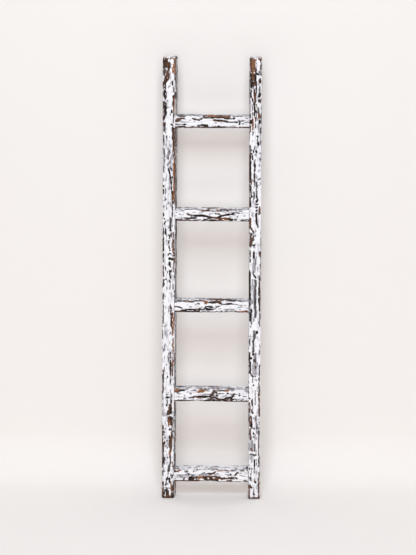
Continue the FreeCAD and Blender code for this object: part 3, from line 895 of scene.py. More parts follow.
# %% Marks on the right rail
RIGHT_RAIL_MARKS = [
    # The top end is bare over half its width, down to a point.
    ("tan", 8.6, (-4.7, 757), (-4.5, 745)),
    ("bare", 6.4, (-4.6, 742), (-4.2, 734)),
    ("tan", 3.4, (-5.4, 741), (-5, 733)),
    ("bare", 5, (-3.6, 731), (-3, 722)),
    ("tan", 2, (-4.4, 730), (-3.6, 722)),
    ("dark", 3.2, (-2.8, 724), (-1.8, 714)),
    ("bare", 3.2, (-1.4, 717), (-1.2, 701)),
    ("crack", 1.3, (-8.6, 742), (-8.4, 718)),
    ("dark", 1.4, (0.8, 757), (1.2, 754)),
    ("rubbed", 2.0, (-9, 761.6), (-2, 761.8)),
    ("bare", 1.8, (-2, 762), (3, 762)),
    ("rubbed", 2.0, (3, 761.4), (9, 761.2)),
    ("bare", 1.6, (8.6, 760), (8.8, 744)),
    ("daub", 4, (4, 757), (4, 744)),
    ("crack", 2, (1.2, 737.6), (4, 735.6)),
    ("crack", 1.7, (-0.4, 733), (-0.6, 727)),
    ("dark", 1.5, (1, 724), (0.8, 706)),
    ("dark", 2.6, (6.8, 726), (7, 723.4)),
    ("smoke", 1.8, (6.6, 716), (6.4, 706)),
    ("dark", 2.8, (6.8, 703.5), (7, 700)),
    ("dark", 3, (6.2, 693), (7, 690.5)),
    ("crack", 1.7, (-6.8, 721), (-6.6, 713)),
    ("dark", 1.5, (-7, 709), (-6.6, 699)),
    ("dark", 1.7, (-5.8, 700), (-4.6, 690)),
    ("bare", 2.4, (-1, 700), (-0.6, 690)),
    ("crack", 1.8, (-2.4, 688.5), (-2, 687)),
    # The corner toward the rungs, from the top end down to the second bay.
    ("dark", 1, (-9.9, 761), (-9.9, 752)),
    ("smoke", 2.2, (-9.9, 751), (-9.9, 742)),
    ("dark", 2.2, (-9.9, 740), (-9.9, 728)),
    ("crack", 2.0, (-9.9, 727), (-9.9, 715)),
    ("smoke", 1.6, (-9.8, 706), (-9.8, 697)),
    ("grey", 1.8, (-9.8, 692), (-9.8, 674)),
    ("smoke", 1.4, (-9.9, 671), (-9.8, 664)),
    ("bare", 1.8, (-9.9, 650), (-9.8, 643)),
    ("smoke", 1.8, (-9.8, 618), (-9.8, 604)),
    ("dark", 2.0, (-9.9, 602), (-9.8, 590)),
    ("crack", 1.8, (-9.9, 529), (-9.8, 515)),
    ("tan", 2.2, (-9.9, 494), (-9.8, 481)),
    ("dark", 1.6, (-9.9, 468), (-9.8, 446)),
    ("dark", 1.8, (-9.9, 440), (-9.8, 422)),
    ("crack", 2.0, (-9.9, 590), (-9.8, 566)),
    ("bare", 2.4, (-9.6, 568), (-9.4, 555)),
    # Splinters on the way down to the top rung.
    ("dark", 1, (-4.6, 690), (-5, 660)),
    ("dark", 0.7, (-2.8, 686), (-3, 668)),
    ("crack", 0.8, (-1, 685), (-1.2, 664)),
    ("dark", 0.8, (1.2, 686), (1, 661)),
    ("daub", 1, (-3.8, 684), (-4, 662)),
    ("daub", 1, (0.1, 684), (0, 664)),
    ("crack", 1.4, (3.8, 681), (4.6, 667)),
    ("bare", 1.3, (4.8, 676), (5, 662)),
    ("bare", 1.8, (7, 670), (7.4, 664)),
    ("tan", 2, (-4.8, 661), (-4.6, 645)),
    ("crack", 2.4, (-8, 658.5), (-7.8, 655)),
    ("bare", 1.2, (-0.2, 664), (-0.2, 657)),
    ("dark", 1.2, (-0.2, 653), (-0.2, 648)),
    ("crack", 2.6, (6.8, 658), (6.8, 655)),
    ("grey", 3.6, (4.6, 653), (5, 641)),
    ("dark", 1.4, (8.4, 646), (8.4, 640)),
    ("smoke", 1.8, (-4.4, 641), (-4.4, 634)),
    ("crack", 1.8, (3, 634), (3.8, 632.5)),
    ("smoke", 1.8, (3, 630), (3, 625)),
    ("dark", 2.7, (4, 622), (4.4, 618)),
    ("grey", 1.4, (-4.6, 626), (-4.6, 623.5)),
    ("dark", 1.5, (-6.4, 610), (-6.4, 603)),
    ("crack", 1.5, (-3.4, 609.5), (-3.4, 606.5)),
    ("crack", 1.9, (1, 608.5), (1.8, 605.6)),
    ("crack", 1.3, (-4.8, 600), (-4.6, 593.5)),
    ("smoke", 1.6, (1, 603), (1.2, 599)),
    # The second bay: one long split, black where it is deepest.
    ("smoke", 2, (-1, 593), (-1.2, 580)),
    ("crack", 2.2, (-1, 585.5), (-1, 582.5)),
    ("crack", 2, (-1.4, 577), (-1.4, 574.5)),
    ("crack", 1.9, (-1.4, 571.5), (-1.4, 563.5)),
    ("dark", 1.4, (-1.4, 575), (-1.4, 556)),
    ("dark", 1.3, (3.8, 560), (6, 561.5), (8, 563)),
    ("dark", 1.5, (-9, 600), (-9, 592)),
    ("crack", 1.9, (-8.9, 590), (-8.8, 560)),
    ("dark", 2.2, (-7.6, 560), (-7.4, 548)),
    ("bare", 1.5, (-8, 559), (-7.8, 550)),
    ("crack", 1.7, (-7.4, 548), (-7, 534)),
    ("crack", 1.9, (-6.6, 533.5), (-5.4, 532)),
    ("smoke", 1.5, (-1.4, 560), (-1.4, 551)),
    ("dark", 1.5, (3.4, 558), (3.8, 556)),
    ("smoke", 3, (2.2, 556), (2.6, 548)),
    ("dark", 1.4, (3, 551), (3.2, 548)),
    ("dark", 1.7, (2, 545), (2.4, 529)),
    ("crack", 1.7, (2, 532.5), (2.6, 529.5)),
    ("smoke", 1.3, (-3.2, 540), (-2.8, 524)),
    ("smoke", 1.3, (-1.4, 538), (-1.4, 528)),
    ("dark", 1.3, (-3.2, 523), (-3, 521.5)),
    ("daub", 1.5, (-2.8, 541.5), (1, 546)),
    # A ladder of black notches where a tool chattered.
    ("crack", 1.9, (1.8, 523.2), (4.2, 526.2)),
    ("crack", 1.8, (1.8, 518.4), (3.8, 518.8)),
    ("crack", 1.8, (1.8, 512.6), (3.4, 513.4)),
    ("crack", 1.7, (1.8, 507.6), (3, 508.4)),
    ("crack", 2.5, (2, 503), (1.8, 498.4)),
    ("crack", 1.9, (2.2, 496), (2.4, 487)),
    ("dark", 1.7, (3.2, 486), (4, 481.5)),
    ("bare", 2, (7, 514), (7.6, 503)),
    ("smoke", 1.5, (5.6, 501), (8, 501.5)),
    ("crack", 1.6, (-9.2, 530), (-9, 519)),
    # A slanting gash below the fourth rung.
    ("bare", 1.6, (-9.2, 493), (-8.8, 482)),
    ("dark", 2.2, (-8, 479.6), (-5, 475), (-1.4, 471.4)),
    ("bare", 1, (-7, 478.6), (-2.6, 472.8)),
    ("dark", 2, (-6, 469), (-5.4, 462), (-4.8, 454)),
    ("bare", 1.2, (-6.6, 466), (-6, 455)),
    ("smoke", 1.9, (-3, 466), (-3, 456)),
    ("bare", 1.5, (-6, 456), (-5.8, 449)),
    ("crack", 2, (-2.6, 449), (-1.2, 448.4)),
    ("dark", 1.2, (-2.2, 447), (-2.2, 444)),
    ("dark", 2, (-2, 436), (-2, 427)),
    ("crack", 1.4, (-2, 430), (-2, 427.5)),
    # A long grey stretch, down the middle of three bays.
    ("grey", 4.6, (-0.4, 426), (-1, 405)),
    ("grey", 2.2, (-3.4, 418), (-3.4, 400)),
    ("smoke", 1.6, (1.4, 425), (1.8, 416)),
    ("smoke", 1.6, (-2.8, 404), (-2, 398)),
    ("crack", 1.7, (-1.2, 397), (1, 393.5)),
    ("smoke", 3.8, (0.6, 389), (1.6, 380)),
    ("grey", 2, (-4, 390), (-3.6, 379)),
    ("smoke", 4, (0.4, 378), (0.4, 352)),
    ("grey", 2, (-2.6, 376), (-2.4, 352)),
    ("dark", 1.4, (0.6, 355), (0.8, 347)),
    ("dark", 1.2, (-0.6, 371), (1.4, 370)),
    ("dark", 1.5, (-9.2, 436), (-9, 428)),
    ("dark", 1.3, (-9, 406), (-9, 392)),
    ("crack", 1.7, (-9, 402), (-8.8, 355)),
    ("dark", 1.6, (8, 437), (8, 429)),
    ("dark", 1.6, (7.8, 396), (7.8, 378)),
    ("dark", 2.6, (7.8, 376), (7.8, 350)),
    ("smoke", 4, (0.2, 350), (0.8, 342)),
    ("smoke", 3.4, (1, 342), (1.4, 332)),
    ("smoke", 3.8, (1.2, 331), (0.8, 325)),
    ("crack", 1.6, (-5.4, 338), (-5.6, 334.5)),
    ("smoke", 1.5, (-1.4, 321), (-1.8, 317)),
    ("smoke", 1.5, (-5.4, 317), (-5.6, 312)),
    ("smoke", 1.6, (-7.2, 309), (-6.4, 307)),
    ("crack", 3, (-8, 331), (-8, 320)),
    ("dark", 1.7, (7.8, 350), (8, 336)),
    ("smoke", 1.3, (8.2, 331), (8.4, 309)),
    ("dark", 1.3, (-2, 300.4), (0.4, 300)),
    ("crack", 2.5, (3.2, 299), (3.6, 296.6)),
    ("smoke", 3.4, (-1, 297), (-0.6, 287)),
    ("smoke", 1.6, (1.4, 296), (1.4, 289)),
    ("dark", 1.9, (-3.2, 281), (-1.8, 277)),
    ("smoke", 2.6, (-1.8, 286), (-1.8, 266)),
    ("dark", 3.2, (-2.2, 265), (-2.4, 260)),
    ("dark", 1.4, (-7.2, 254.5), (-5, 254)),
    ("crack", 1.5, (-7.4, 253), (-5.2, 251.6)),
    ("smoke", 4, (-0.8, 250), (0, 243)),
    ("dark", 1.5, (1, 250), (1.2, 246)),
    ("crack", 1.3, (-9, 286), (-9, 275)),
    ("crack", 1.9, (-8.6, 262), (-8.2, 250)),
    ("crack", 1.6, (-7, 245), (-6.8, 239)),
    ("crack", 2, (-7.4, 246), (-7.2, 226)),
    ("dark", 1.6, (-6.8, 227), (-4.4, 221)),
    ("smoke", 1.7, (-3.4, 223), (-3.2, 211)),
    ("grey", 6, (1, 245), (1.4, 226)),
    ("grey", 5, (-1.4, 240), (-1, 226)),
    ("dark", 1.9, (1.6, 237.5), (1.8, 235.5)),
    ("dark", 1.8, (2, 220.6), (4.2, 220.4)),
    ("dark", 1.4, (-2.8, 221), (-1.4, 220)),
    ("smoke", 2, (2.6, 214), (3.8, 213.6)),
    ("dark", 1.6, (-1.6, 206), (-1.6, 204)),
    ("dark", 1.6, (8.4, 228.5), (8.6, 227)),
    ("dark", 1.8, (8.2, 215), (8.2, 212.5)),
    ("dark", 1.5, (8.4, 202), (8.6, 197)),
    # The lowest bays.
    ("bare", 2.8, (7.8, 189), (8, 178)),
    ("dark", 1.2, (6.8, 188), (7.2, 178)),
    ("dark", 1.2, (8.6, 176), (8.8, 170)),
    ("smoke", 1.4, (1.6, 191), (1.8, 171)),
    ("dark", 1.9, (-8.2, 182), (-7.4, 181.4)),
    ("crack", 1.9, (-3.8, 178), (-3.2, 170)),
    ("grey", 2, (-2.6, 168), (-2.8, 160)),
    ("crack", 2.2, (-4, 158.5), (-2.8, 156.6)),
    ("bare", 2.3, (-8.2, 173), (-8, 157)),
    ("dark", 3, (-5.4, 149), (-5, 137)),
    ("bare", 1.6, (-7.6, 149), (-7.6, 138)),
    ("smoke", 1.5, (-1.4, 148), (-1, 145)),
    ("bare", 2.6, (-6.6, 139), (-6.4, 132)),
    ("crack", 1.7, (-4.4, 136), (-4.4, 128)),
    ("bare", 2.4, (-8.2, 131), (-7, 116), (-5.6, 109)),
    ("dark", 1.2, (-8.8, 128), (-8.2, 112)),
    ("smoke", 1.6, (-1.4, 128.5), (-0.6, 127)),
    ("dark", 1.6, (-1.2, 120), (-1.2, 117)),
    ("dark", 1.3, (-1.4, 112.5), (-1, 111)),
    ("grey", 5, (-3.6, 104), (-3.4, 96)),
    ("smoke", 2.4, (1, 100), (0.8, 88)),
    ("bare", 2.6, (-5.6, 90), (-4.4, 87)),
    ("grey", 4, (-6, 100), (-6, 92)),
    ("smoke", 2.6, (-6.6, 81), (3.6, 80)),
    ("dark", 1.4, (-1, 81), (0.6, 79)),
    ("grey", 3.4, (-4, 77), (-4, 68)),
    ("crack", 1.7, (0.8, 70.5), (0.8, 60.5)),
    ("smoke", 1.5, (4.2, 72), (4.2, 69.5)),
    ("smoke", 1.5, (4.2, 66), (4, 62)),
    ("dark", 2, (-8.2, 57), (-7.4, 55)),
    ("smoke", 1.9, (-3.8, 57), (-3.4, 54)),
    ("smoke", 1.9, (0.8, 58), (1, 55)),
    ("smoke", 1.2, (-5.8, 46), (-5.8, 43)),
    ("dark", 1.8, (-5.8, 38.5), (-5.6, 34.5)),
    ("crack", 1.6, (9, 123), (9, 117)),
    ("dark", 1.7, (8.9, 140), (9, 60)),
    ("dark", 1.5, (8.6, 240), (8.8, 196)),
    ("bare", 1.6, (8.8, 196), (8.8, 150)),
    ("dark", 1.8, (8, 48), (8.4, 40)),
    ("bare", 1.8, (9, 46), (9, 34)),
    ("dark", 2.3, (0, 32), (2.4, 31)),
    ("dark", 2.2, (-7.6, 25.6), (-5.6, 22.4), (-4.2, 20.6)),
    ("crack", 1.5, (-0.4, 12.5), (-0.4, 9.5)),
    ("dark", 1.2, (0, 11), (1.6, 8)),
    ("smoke", 1.2, (-0.4, 9), (-0.4, 5)),
    ("bare", 2.2, (9, 30), (8.8, 12)),
    ("bare", 1.6, (-9.2, 24), (-9.2, 2)),
    # Painted shade: these two lines along the bottom edge, brown over black, stand for the contact shadow
    # under the foot.
    ("bare", 2.2, (-8.4, 1.6), (9, 1.6)),
    ("crack", 1.4, (-9, 0.6), (8, 0.6)),
    ("bare", 1.5, (9.2, 12), (9.2, 2)),
]

# %% [markdown]
# On a rung a point is how far right of the ladder's middle it lies, and its height above the
# rung's underside. Past the upper corner the count goes on back over the top of the rung. The
# dark lines at heights near 0, along each rung's lower corner, are partly painted shade under
# that corner.

# %% Marks on the rungs
RUNG_MARKS = {
    5: [
        ("dark", 2, (-60, 0), (-46, 0.2)),
        ("bare", 1.8, (-44, 0), (-30, 0)),
        ("dark", 1.7, (-22, 0), (0, 0.2), (24, 0.6)),
        ("bare", 1.8, (28, 0), (46, 0)),
        ("dark", 1.8, (46, 0.2), (60, 0.4)),
        ("crack", 1.7, (9.6, 1.2), (10.4, 3.2)),
        ("dark", 2.2, (-60, 10.6), (-57.6, 11.6)),
        ("bare", 3, (-57, 12.4), (-53, 14.4)),
        ("bare", 1.6, (-55, 15.8), (-45, 16)),
        ("dark", 1.6, (-31, 15.6), (-27, 14), (-22, 14.2), (-17, 15.6)),
        ("smoke", 1, (-20, 16.4), (-8, 16.6), (2, 16)),
        ("crack", 1.6, (-45.6, 5.4), (-45, 5.4)),
        ("smoke", 1.1, (-49, 5.4), (-42, 5.8)),
        ("smoke", 1.3, (-24, 4.2), (-16, 4.4)),
        ("crack", 1.8, (-17, 5), (-8, 4.4)),
        ("bare", 2, (3.5, 13), (12, 12.8), (24, 11.6)),
        ("dark", 1.3, (10, 13.6), (24, 10.8)),
        ("smoke", 2, (24, 10.6), (35, 10)),
        ("smoke", 2.4, (37, 10.4), (41, 9.6)),
        ("crack", 1.3, (44, 12.6), (45.2, 10), (44.6, 6.6)),
        ("smoke", 1.2, (53, 9.8), (61, 10)),
        ("smoke", 1.1, (48, 13), (53, 13)),
        ("dark", 1.5, (21, 16.4), (31, 16)),
        ("crack", 1.6, (34.4, 16.3), (35.8, 16.3)),
        ("bare", 8, (-11, 25), (8, 27), (23, 25)),
        ("tan", 7, (-3, 25), (-2, 34)),
        ("tan", 5, (6, 24), (6, 32)),
        ("bare", 3.4, (-14, 19.4), (27, 19.6)),
        ("dark", 1.4, (-15, 18), (0, 17.6), (14, 17.8)),
        ("rubbed", 3, (-4, 22), (4, 22.6)),
        ("rubbed", 2, (22, 20.4), (27, 20.6)),
        ("bare", 2.6, (29, 22), (33, 23)),
        ("dark", 5.4, (-53, 25), (-45, 25)),
        ("smoke", 4, (-28, 25), (-23, 24)),
        ("smoke", 2.4, (-38, 24), (-37, 27)),
        ("smoke", 1.4, (-55, 19), (-44, 19)),
        ("smoke", 1.8, (42, 21), (42, 26)),
        ("smoke", 1.8, (48, 21), (48, 27)),
    ],
    4: [
        ("dark", 3.1, (-61, -0.2), (-58, 0)),
        ("dark", 2, (-58, 0.6), (-49, 0.6)),
        ("dark", 1.8, (-46, 0.4), (-28, 0.6)),
        ("crack", 1.7, (-26, 1.6), (-24.4, 1.6)),
        ("dark", 1.5, (-23, 1.4), (-15, 1.6)),
        ("dark", 1.6, (-14, 2.6), (-7, 4)),
        ("crack", 1.3, (-4, 1.8), (8, 1.6)),
        ("bare", 4.6, (12, 3.6), (28, 3.4)),
        ("tan", 2.4, (20, 2.8), (25, 2.6)),
        ("dark", 2.4, (29, 3.2), (40, 3)),
        ("dark", 1.5, (51, 2), (60, 2)),
        ("dark", 2, (-40.6, 12.4), (-37.4, 11)),
        ("dark", 2, (-35, 9.8), (-26, 9.4), (-15, 9.8), (-6, 8), (0, 6.2)),
        ("crack", 1.2, (-30, 9.4), (-14, 9.6), (-4, 7)),
        ("dark", 2.6, (-4, 6), (4, 5.4), (11, 5.8)),
        ("bare", 1.8, (2, 5.4), (14, 5)),
        ("dark", 2, (11, 7), (15, 9), (20, 10.2), (29, 11.8), (36, 14)),
        ("crack", 1.2, (13, 7.8), (19, 10), (28, 11.6)),
        ("crack", 1.4, (33.6, 13.6), (35.6, 14)),
        ("smoke", 1, (36, 15), (45, 15.2)),
        ("dark", 1.4, (-44, 5), (-34, 4.8), (-28, 5)),
        ("smoke", 2, (-34, 7), (-26, 6)),
        ("daub", 3, (-22, 6), (-16, 5.6)),
        ("dark", 1.3, (6, 13.6), (12, 13), (14, 11)),
        ("smoke", 1, (3, 14), (-4, 12.4), (-3, 10)),
        ("daub", 3, (0, 9.6), (8, 9.4)),
        ("smoke", 1.4, (43.6, 10.4), (42.6, 7)),
        ("smoke", 1, (-32, 15), (-28, 14.8)),
        ("smoke", 1, (-47, 15), (-45, 15)),
        ("smoke", 1.2, (-58.6, 15), (-58, 14.4)),
        ("dark", 1.7, (-15, 18.4), (-3, 18.4)),
        ("bare", 1.7, (-3, 18.4), (26, 18.4)),
        ("crack", 1.2, (12, 18.2), (20, 18.2)),
        ("rubbed", 2.2, (8.4, 18.8), (9.6, 25)),
        ("rubbed", 2.4, (-18, 20.6), (-15, 21.6)),
        ("dark", 3.2, (-21, 21.6), (-19, 23)),
        ("bare", 4, (-8, 21), (-6, 26)),
        ("dark", 6, (17, 24.4), (24, 24.4)),
        ("dark", 4, (28, 24), (35, 23.6)),
        ("smoke", 7, (-42, 24), (-34, 25)),
        ("smoke", 7, (-30, 26), (-26, 25)),
        ("smoke", 6, (-14, 37), (8, 37)),
        ("smoke", 5, (-56, 33), (-52, 35)),
        ("smoke", 4, (45, 22), (48, 25)),
        ("smoke", 5, (54, 38), (58, 38)),
        ("smoke", 5, (-4, 30), (6, 29)),
    ],
    3: [
        ("dark", 1.8, (-60, -0.2), (-34, -0.4)),
        ("dark", 2.4, (-52, 1.2), (-46, 3.2), (-42, 1)),
        ("dark", 3.2, (-27, 1.8), (-21, 2.2)),
        ("crack", 1.2, (-27, 0.6), (-22, 3.4)),
        ("crack", 1.5, (-42, 5), (-34, 5), (-27, 4.8)),
        ("dark", 2, (-26, 3.6), (-21, 4.6), (-19, 6.6)),
        ("smoke", 2, (-19, 5.6), (-13, 5.2)),
        ("dark", 2.2, (-12, 6.2), (-8, 6.4), (-6, 5)),
        ("crack", 1.9, (-8, 5), (-1, 5)),
        ("dark", 1.2, (-1, 5), (6, 5.6)),
        ("crack", 1.2, (-8.6, 10.4), (0, 10.6)),
        ("crack", 1.7, (7.6, 10.4), (9, 10.6)),
        ("dark", 1.2, (8, 10), (15, 11.2)),
        ("smoke", 1.5, (6, 6), (7.4, 8.6)),
        ("dark", 1.4, (-9.6, 9.6), (-10, 7)),
        ("smoke", 1.6, (-60, 10.4), (-55, 10)),
        ("dark", 1.5, (-56, 9.6), (-50.4, 7.8)),
        ("smoke", 1.6, (-36.4, 10.2), (-34.4, 10.2)),
        ("dark", 1.4, (-22, 15.4), (-8, 15.4)),
        ("smoke", 1, (-28, 14.4), (-22, 15)),
        ("dark", 1.4, (11, 16.6), (15, 15.6), (18.4, 13.8)),
        ("crack", 1.9, (26, 15), (33, 15.6)),
        ("dark", 1.2, (19, 14), (26, 14.6)),
        ("smoke", 1.4, (33, 15), (44, 14.2)),
        ("smoke", 1.4, (45, 9.2), (47, 9.2)),
        ("smoke", 1, (22, 5.6), (38, 5.4)),
        ("smoke", 1.8, (-4, 8.6), (4, 8.2)),
        ("dark", 1.8, (30, -0.1), (46, -0.1)),
        ("bare", 2.6, (46, 1.4), (60, 1.8)),
        ("rubbed", 1.3, (46, 1.8), (54, 2.2)),
        ("crack", 2, (16.4, -0.2), (17.4, -0.2)),
        ("dark", 2, (-61, 18.6), (-59, 18.6)),
        ("smoke", 1.1, (-58, 18.8), (-44, 18.8)),
        ("rubbed", 2.2, (-43, 19.4), (-30, 19.4)),
        ("dark", 1, (-43, 18.4), (-30, 18.2)),
        ("bare", 3, (-12, 18.6), (14, 18.6)),
        ("rubbed", 3.4, (-11, 18.8), (-7.4, 18.8)),
        ("tan", 2.4, (8, 20), (8.6, 36)),
        ("dark", 1.3, (-4, 17), (12, 17)),
        ("bare", 4, (12, 21), (17, 26)),
        ("bare", 7, (-3, 33), (12, 34)),
        ("smoke", 8, (16, 33), (28, 31)),
        ("dark", 3, (-3, 37), (10, 37)),
        ("bare", 3, (12, 34), (24, 31)),
        ("dark", 6, (30, 27), (35, 25)),
        ("smoke", 6, (-56, 24), (-51, 25)),
        ("dark", 4, (-26, 24), (-15, 24)),
        ("tan", 4, (-14, 22), (-10, 23)),
        ("smoke", 5, (-27, 38), (-12, 38)),
        ("dark", 4, (42, 39), (51, 39)),
        ("smoke", 4, (-46, 22), (-40, 23)),
        ("dark", 4, (-62, 36), (-62, 38)),
    ],
    2: [
        ("dark", 2.1, (-56, -0.4), (-45, -0.4)),
        ("crack", 2, (-38, -0.4), (-30, -0.2)),
        ("dark", 2.2, (-24, 1.2), (-18, 1.6)),
        ("bare", 2.3, (-20, 0.2), (-11, 0.4)),
        ("crack", 2.5, (-9, 0.2), (-2, 0.4)),
        ("dark", 2.2, (-8, 1.6), (9, 1.8)),
        ("crack", 2.5, (4, 0.2), (10, 0.6)),
        ("dark", 1.7, (-44, -0.2), (-38, -0.2)),
        ("dark", 1.4, (52, 2.6), (55, 1), (62, 0.8)),
        ("smoke", 2.4, (-37, 7), (-30, 7.2)),
        ("dark", 2, (-31, 8.2), (-24, 8.6), (-18, 9)),
        ("bare", 2, (-24, 8.2), (-10, 8.4)),
        ("dark", 2.3, (-13, 9), (-6, 9), (0, 9)),
        ("crack", 1.2, (-22, 9.2), (-14, 9), (-1, 8.6)),
        ("bare", 2.2, (-2, 8), (6, 7.2)),
        ("smoke", 2, (-4, 5), (12, 4.4)),
        ("dark", 2.6, (8, 6), (18, 5.4), (28, 5.8), (35, 6.8)),
        ("bare", 4.6, (12, 3.8), (22, 4)),
        ("dark", 2.6, (9, 2.6), (23, 3)),
        ("dark", 4.2, (24, 5.4), (34, 6)),
        ("dark", 2.4, (35, 7.6), (37.6, 10.6), (40, 13.4)),
        ("dark", 1.5, (36, 5), (43, 3.6)),
        ("smoke", 4.6, (-1, 10.4), (2.4, 13.6), (4.4, 17.6)),
        ("dark", 1.8, (-1, 10.6), (1.6, 12.6)),
        ("bare", 1.8, (4, 16), (5, 19)),
        ("crack", 2, (8.6, 16.4), (10, 15.4)),
        ("dark", 1.3, (10, 15), (15, 14.6)),
        ("smoke", 2.2, (8, 10.6), (10.6, 11.4)),
        ("dark", 1.7, (8.4, 11.2), (9.8, 11)),
        ("smoke", 1.2, (15, 14.6), (22, 14.6)),
        ("dark", 1.6, (27.6, 14.6), (28.6, 14.6)),
        ("smoke", 1.4, (24.6, 11.4), (25.4, 10.8)),
        ("smoke", 1.6, (48, 15.2), (48.6, 14.6)),
        ("crack", 1.5, (48, 11.4), (48.6, 11.2)),
        ("smoke", 1.2, (55, 9.6), (59, 9.4)),
        ("smoke", 1.5, (-45, 10.6), (-44.4, 10.4)),
        ("smoke", 1.5, (-45, 5.6), (-45, 4.6)),
        ("smoke", 1.6, (-36.6, 14.4), (-34.6, 14)),
        ("grey", 2, (-14, 12), (-11, 12.6)),
        ("smoke", 1.1, (46, 2), (51, 2.2)),
        ("bare", 3.2, (-62, 20), (-46, 20.2)),
        ("rubbed", 2.4, (-60, 20.6), (-56, 21.6)),
        ("crack", 1.5, (-52, 19.2), (-46, 19.6)),
        ("smoke", 2.2, (-60, 17.2), (-55, 17.4)),
        ("bare", 2.2, (-31, 20.6), (-26, 20.6)),
        ("rubbed", 2.8, (-21, 19), (-14, 18.6)),
        ("tan", 4, (-15, 21.4), (-10, 22.6)),
        ("rubbed", 1.9, (8, 19.9), (30, 19.9)),
        ("bare", 2.2, (5, 19), (8, 19.4)),
        ("crack", 0.9, (12, 19.2), (20, 19.3)),
        ("dark", 5, (-58, 38), (-47, 38)),
        ("smoke", 4, (-60, 28), (-52, 28)),
        ("bare", 3, (-2, 38), (11, 38)),
        ("grey", 8, (4, 32), (16, 30)),
        ("grey", 5, (-41, 23), (-40, 30)),
        ("grey", 6, (-26, 37), (-12, 36)),
        ("grey", 7, (22, 33), (30, 35)),
        ("bare", 2, (11, 26), (13, 27)),
        ("smoke", 5, (30, 27), (38, 26)),
        ("dark", 4, (61, 33), (62, 36)),
    ],
    1: [
        ("dark", 2.1, (-63, -1.2), (-40, -1)),
        ("smoke", 1.4, (-52, 0.8), (-46, 0.8)),
        ("dark", 1.9, (-40, -1), (-26, -0.2)),
        ("dark", 2.4, (-30, 0.8), (-25, 1.6)),
        ("bare", 3.8, (-23, 1.4), (-12, 1.2)),
        ("bare", 3, (-24, 7.8), (-14, 8)),
        ("rubbed", 2.6, (-20, 8.2), (-12, 8.4), (-5, 8.6)),
        ("bare", 6, (-8, 6.6), (8, 6)),
        ("dark", 4.2, (-7, 4), (9, 4)),
        ("dark", 2, (4, 1.4), (11, 1.8)),
        ("bare", 2.2, (6, 8.2), (13, 7)),
        ("daub", 2.6, (-18, 4.8), (-13, 4.6)),
        ("crack", 1.5, (-7.6, 3.6), (-6.8, 4.6)),
        ("bare", 2.4, (14, 8), (17, 6.8), (20, 5.6), (24, 5.6)),
        ("dark", 2.4, (22, 5.4), (28, 7.2), (34, 7)),
        ("bare", 2.4, (28, 7), (33, 6.8), (38, 7.8)),
        ("dark", 1.8, (35, 7.2), (41, 8.2)),
        ("dark", 3.9, (-36, 6.8), (-31, 7.2)),
        ("crack", 2, (-36, 6.4), (-32, 6.6)),
        ("dark", 2, (-30, 8), (-24, 8.2)),
        ("smoke", 1.4, (-38, 4.4), (-30, 4.4)),
        ("dark", 1.8, (-46, 4.6), (-44.6, 6.6)),
        ("smoke", 3.4, (-19, 12), (-15, 13.4)),
        ("grey", 5, (-17, 12), (-9, 14)),
        ("dark", 1.6, (-5, 15.2), (1, 15.2), (5, 15.6)),
        ("dark", 1.7, (4, 16.8), (8, 18)),
        ("smoke", 1.4, (-11.4, 17), (-10.6, 16.6)),
        ("smoke", 1.3, (-17, 15), (-10, 17.4)),
        ("grey", 2.6, (6, 14), (12, 15.4)),
        ("dark", 2.4, (42, 12), (43.4, 14), (45.6, 17)),
        ("dark", 1.5, (33.6, 13.8), (35, 13.6)),
        ("smoke", 1, (24, 14), (31, 14)),
        ("dark", 2, (41, 7.4), (44, 7)),
        ("smoke", 1.9, (56, 3), (60, 3.2)),
        ("dark", 2.2, (27, 0.4), (36, 0.4)),
        ("smoke", 1.2, (50, 12), (59, 11)),
        ("smoke", 2, (-45, 20), (-39, 18.8)),
        ("smoke", 1.4, (-43, 17.6), (-36, 14)),
        ("dark", 2, (-28.6, 18.8), (-25.6, 18.8)),
        ("dark", 1.5, (-23.6, 20.4), (-22.6, 20.6)),
        ("bare", 3.4, (-62, 20), (-53, 20.4)),
        ("rubbed", 1.8, (-58, 20.6), (-52, 20.8)),
        ("smoke", 3.2, (-60, 25), (-57, 27)),
        ("tan", 2.2, (-24.6, 25), (-22.6, 22)),
        ("dark", 1.2, (-20, 22.6), (-8, 22.6)),
        ("smoke", 1.6, (-8, 22.8), (4, 22.8)),
        ("tan", 3.4, (4, 23.2), (12, 23.4)),
        ("rubbed", 1.8, (13, 21), (24, 21), (34, 21.4)),
        ("smoke", 1.2, (36, 21.4), (44, 22)),
        ("dark", 1.6, (53, 21), (63, 21)),
        ("grey", 6, (-44, 40), (-40, 42)),
        ("grey", 4, (-38, 30), (-36, 33)),
        ("grey", 7, (2, 34), (11, 36)),
        ("grey", 4, (-28, 30), (-22, 36)),
        ("grey", 3, (20, 33), (32, 33)),
        ("smoke", 4, (62, 30), (62, 36)),
        ("grey", 4, (36, 44), (42, 42)),
        ("grey", 3, (-22, 42), (-14, 42)),
        ("smoke", 2, (-4, 27), (12, 26)),
        ("grey", 4, (52, 42), (56, 43)),
    ],
}
rung_mark_count = sum(map(len, RUNG_MARKS.values()))
print("marks on the fronts:", len(LEFT_RAIL_MARKS) + len(RIGHT_RAIL_MARKS) + rung_mark_count)

# %% [markdown]
# ## The faces that the photograph doesn't show
#
# The same hands worked all round each timber. So the sides, the backs and the undersides wear the
# marks of the fronts again, turned end for end or taken from another piece. A seeded generator
# scatters a few more. The ends are raw sawn wood with a brown rim, and a screw's mouth is dark
# where the drill tore the paint.
#
# The widths and lengths of the scattered marks are in millimetres.

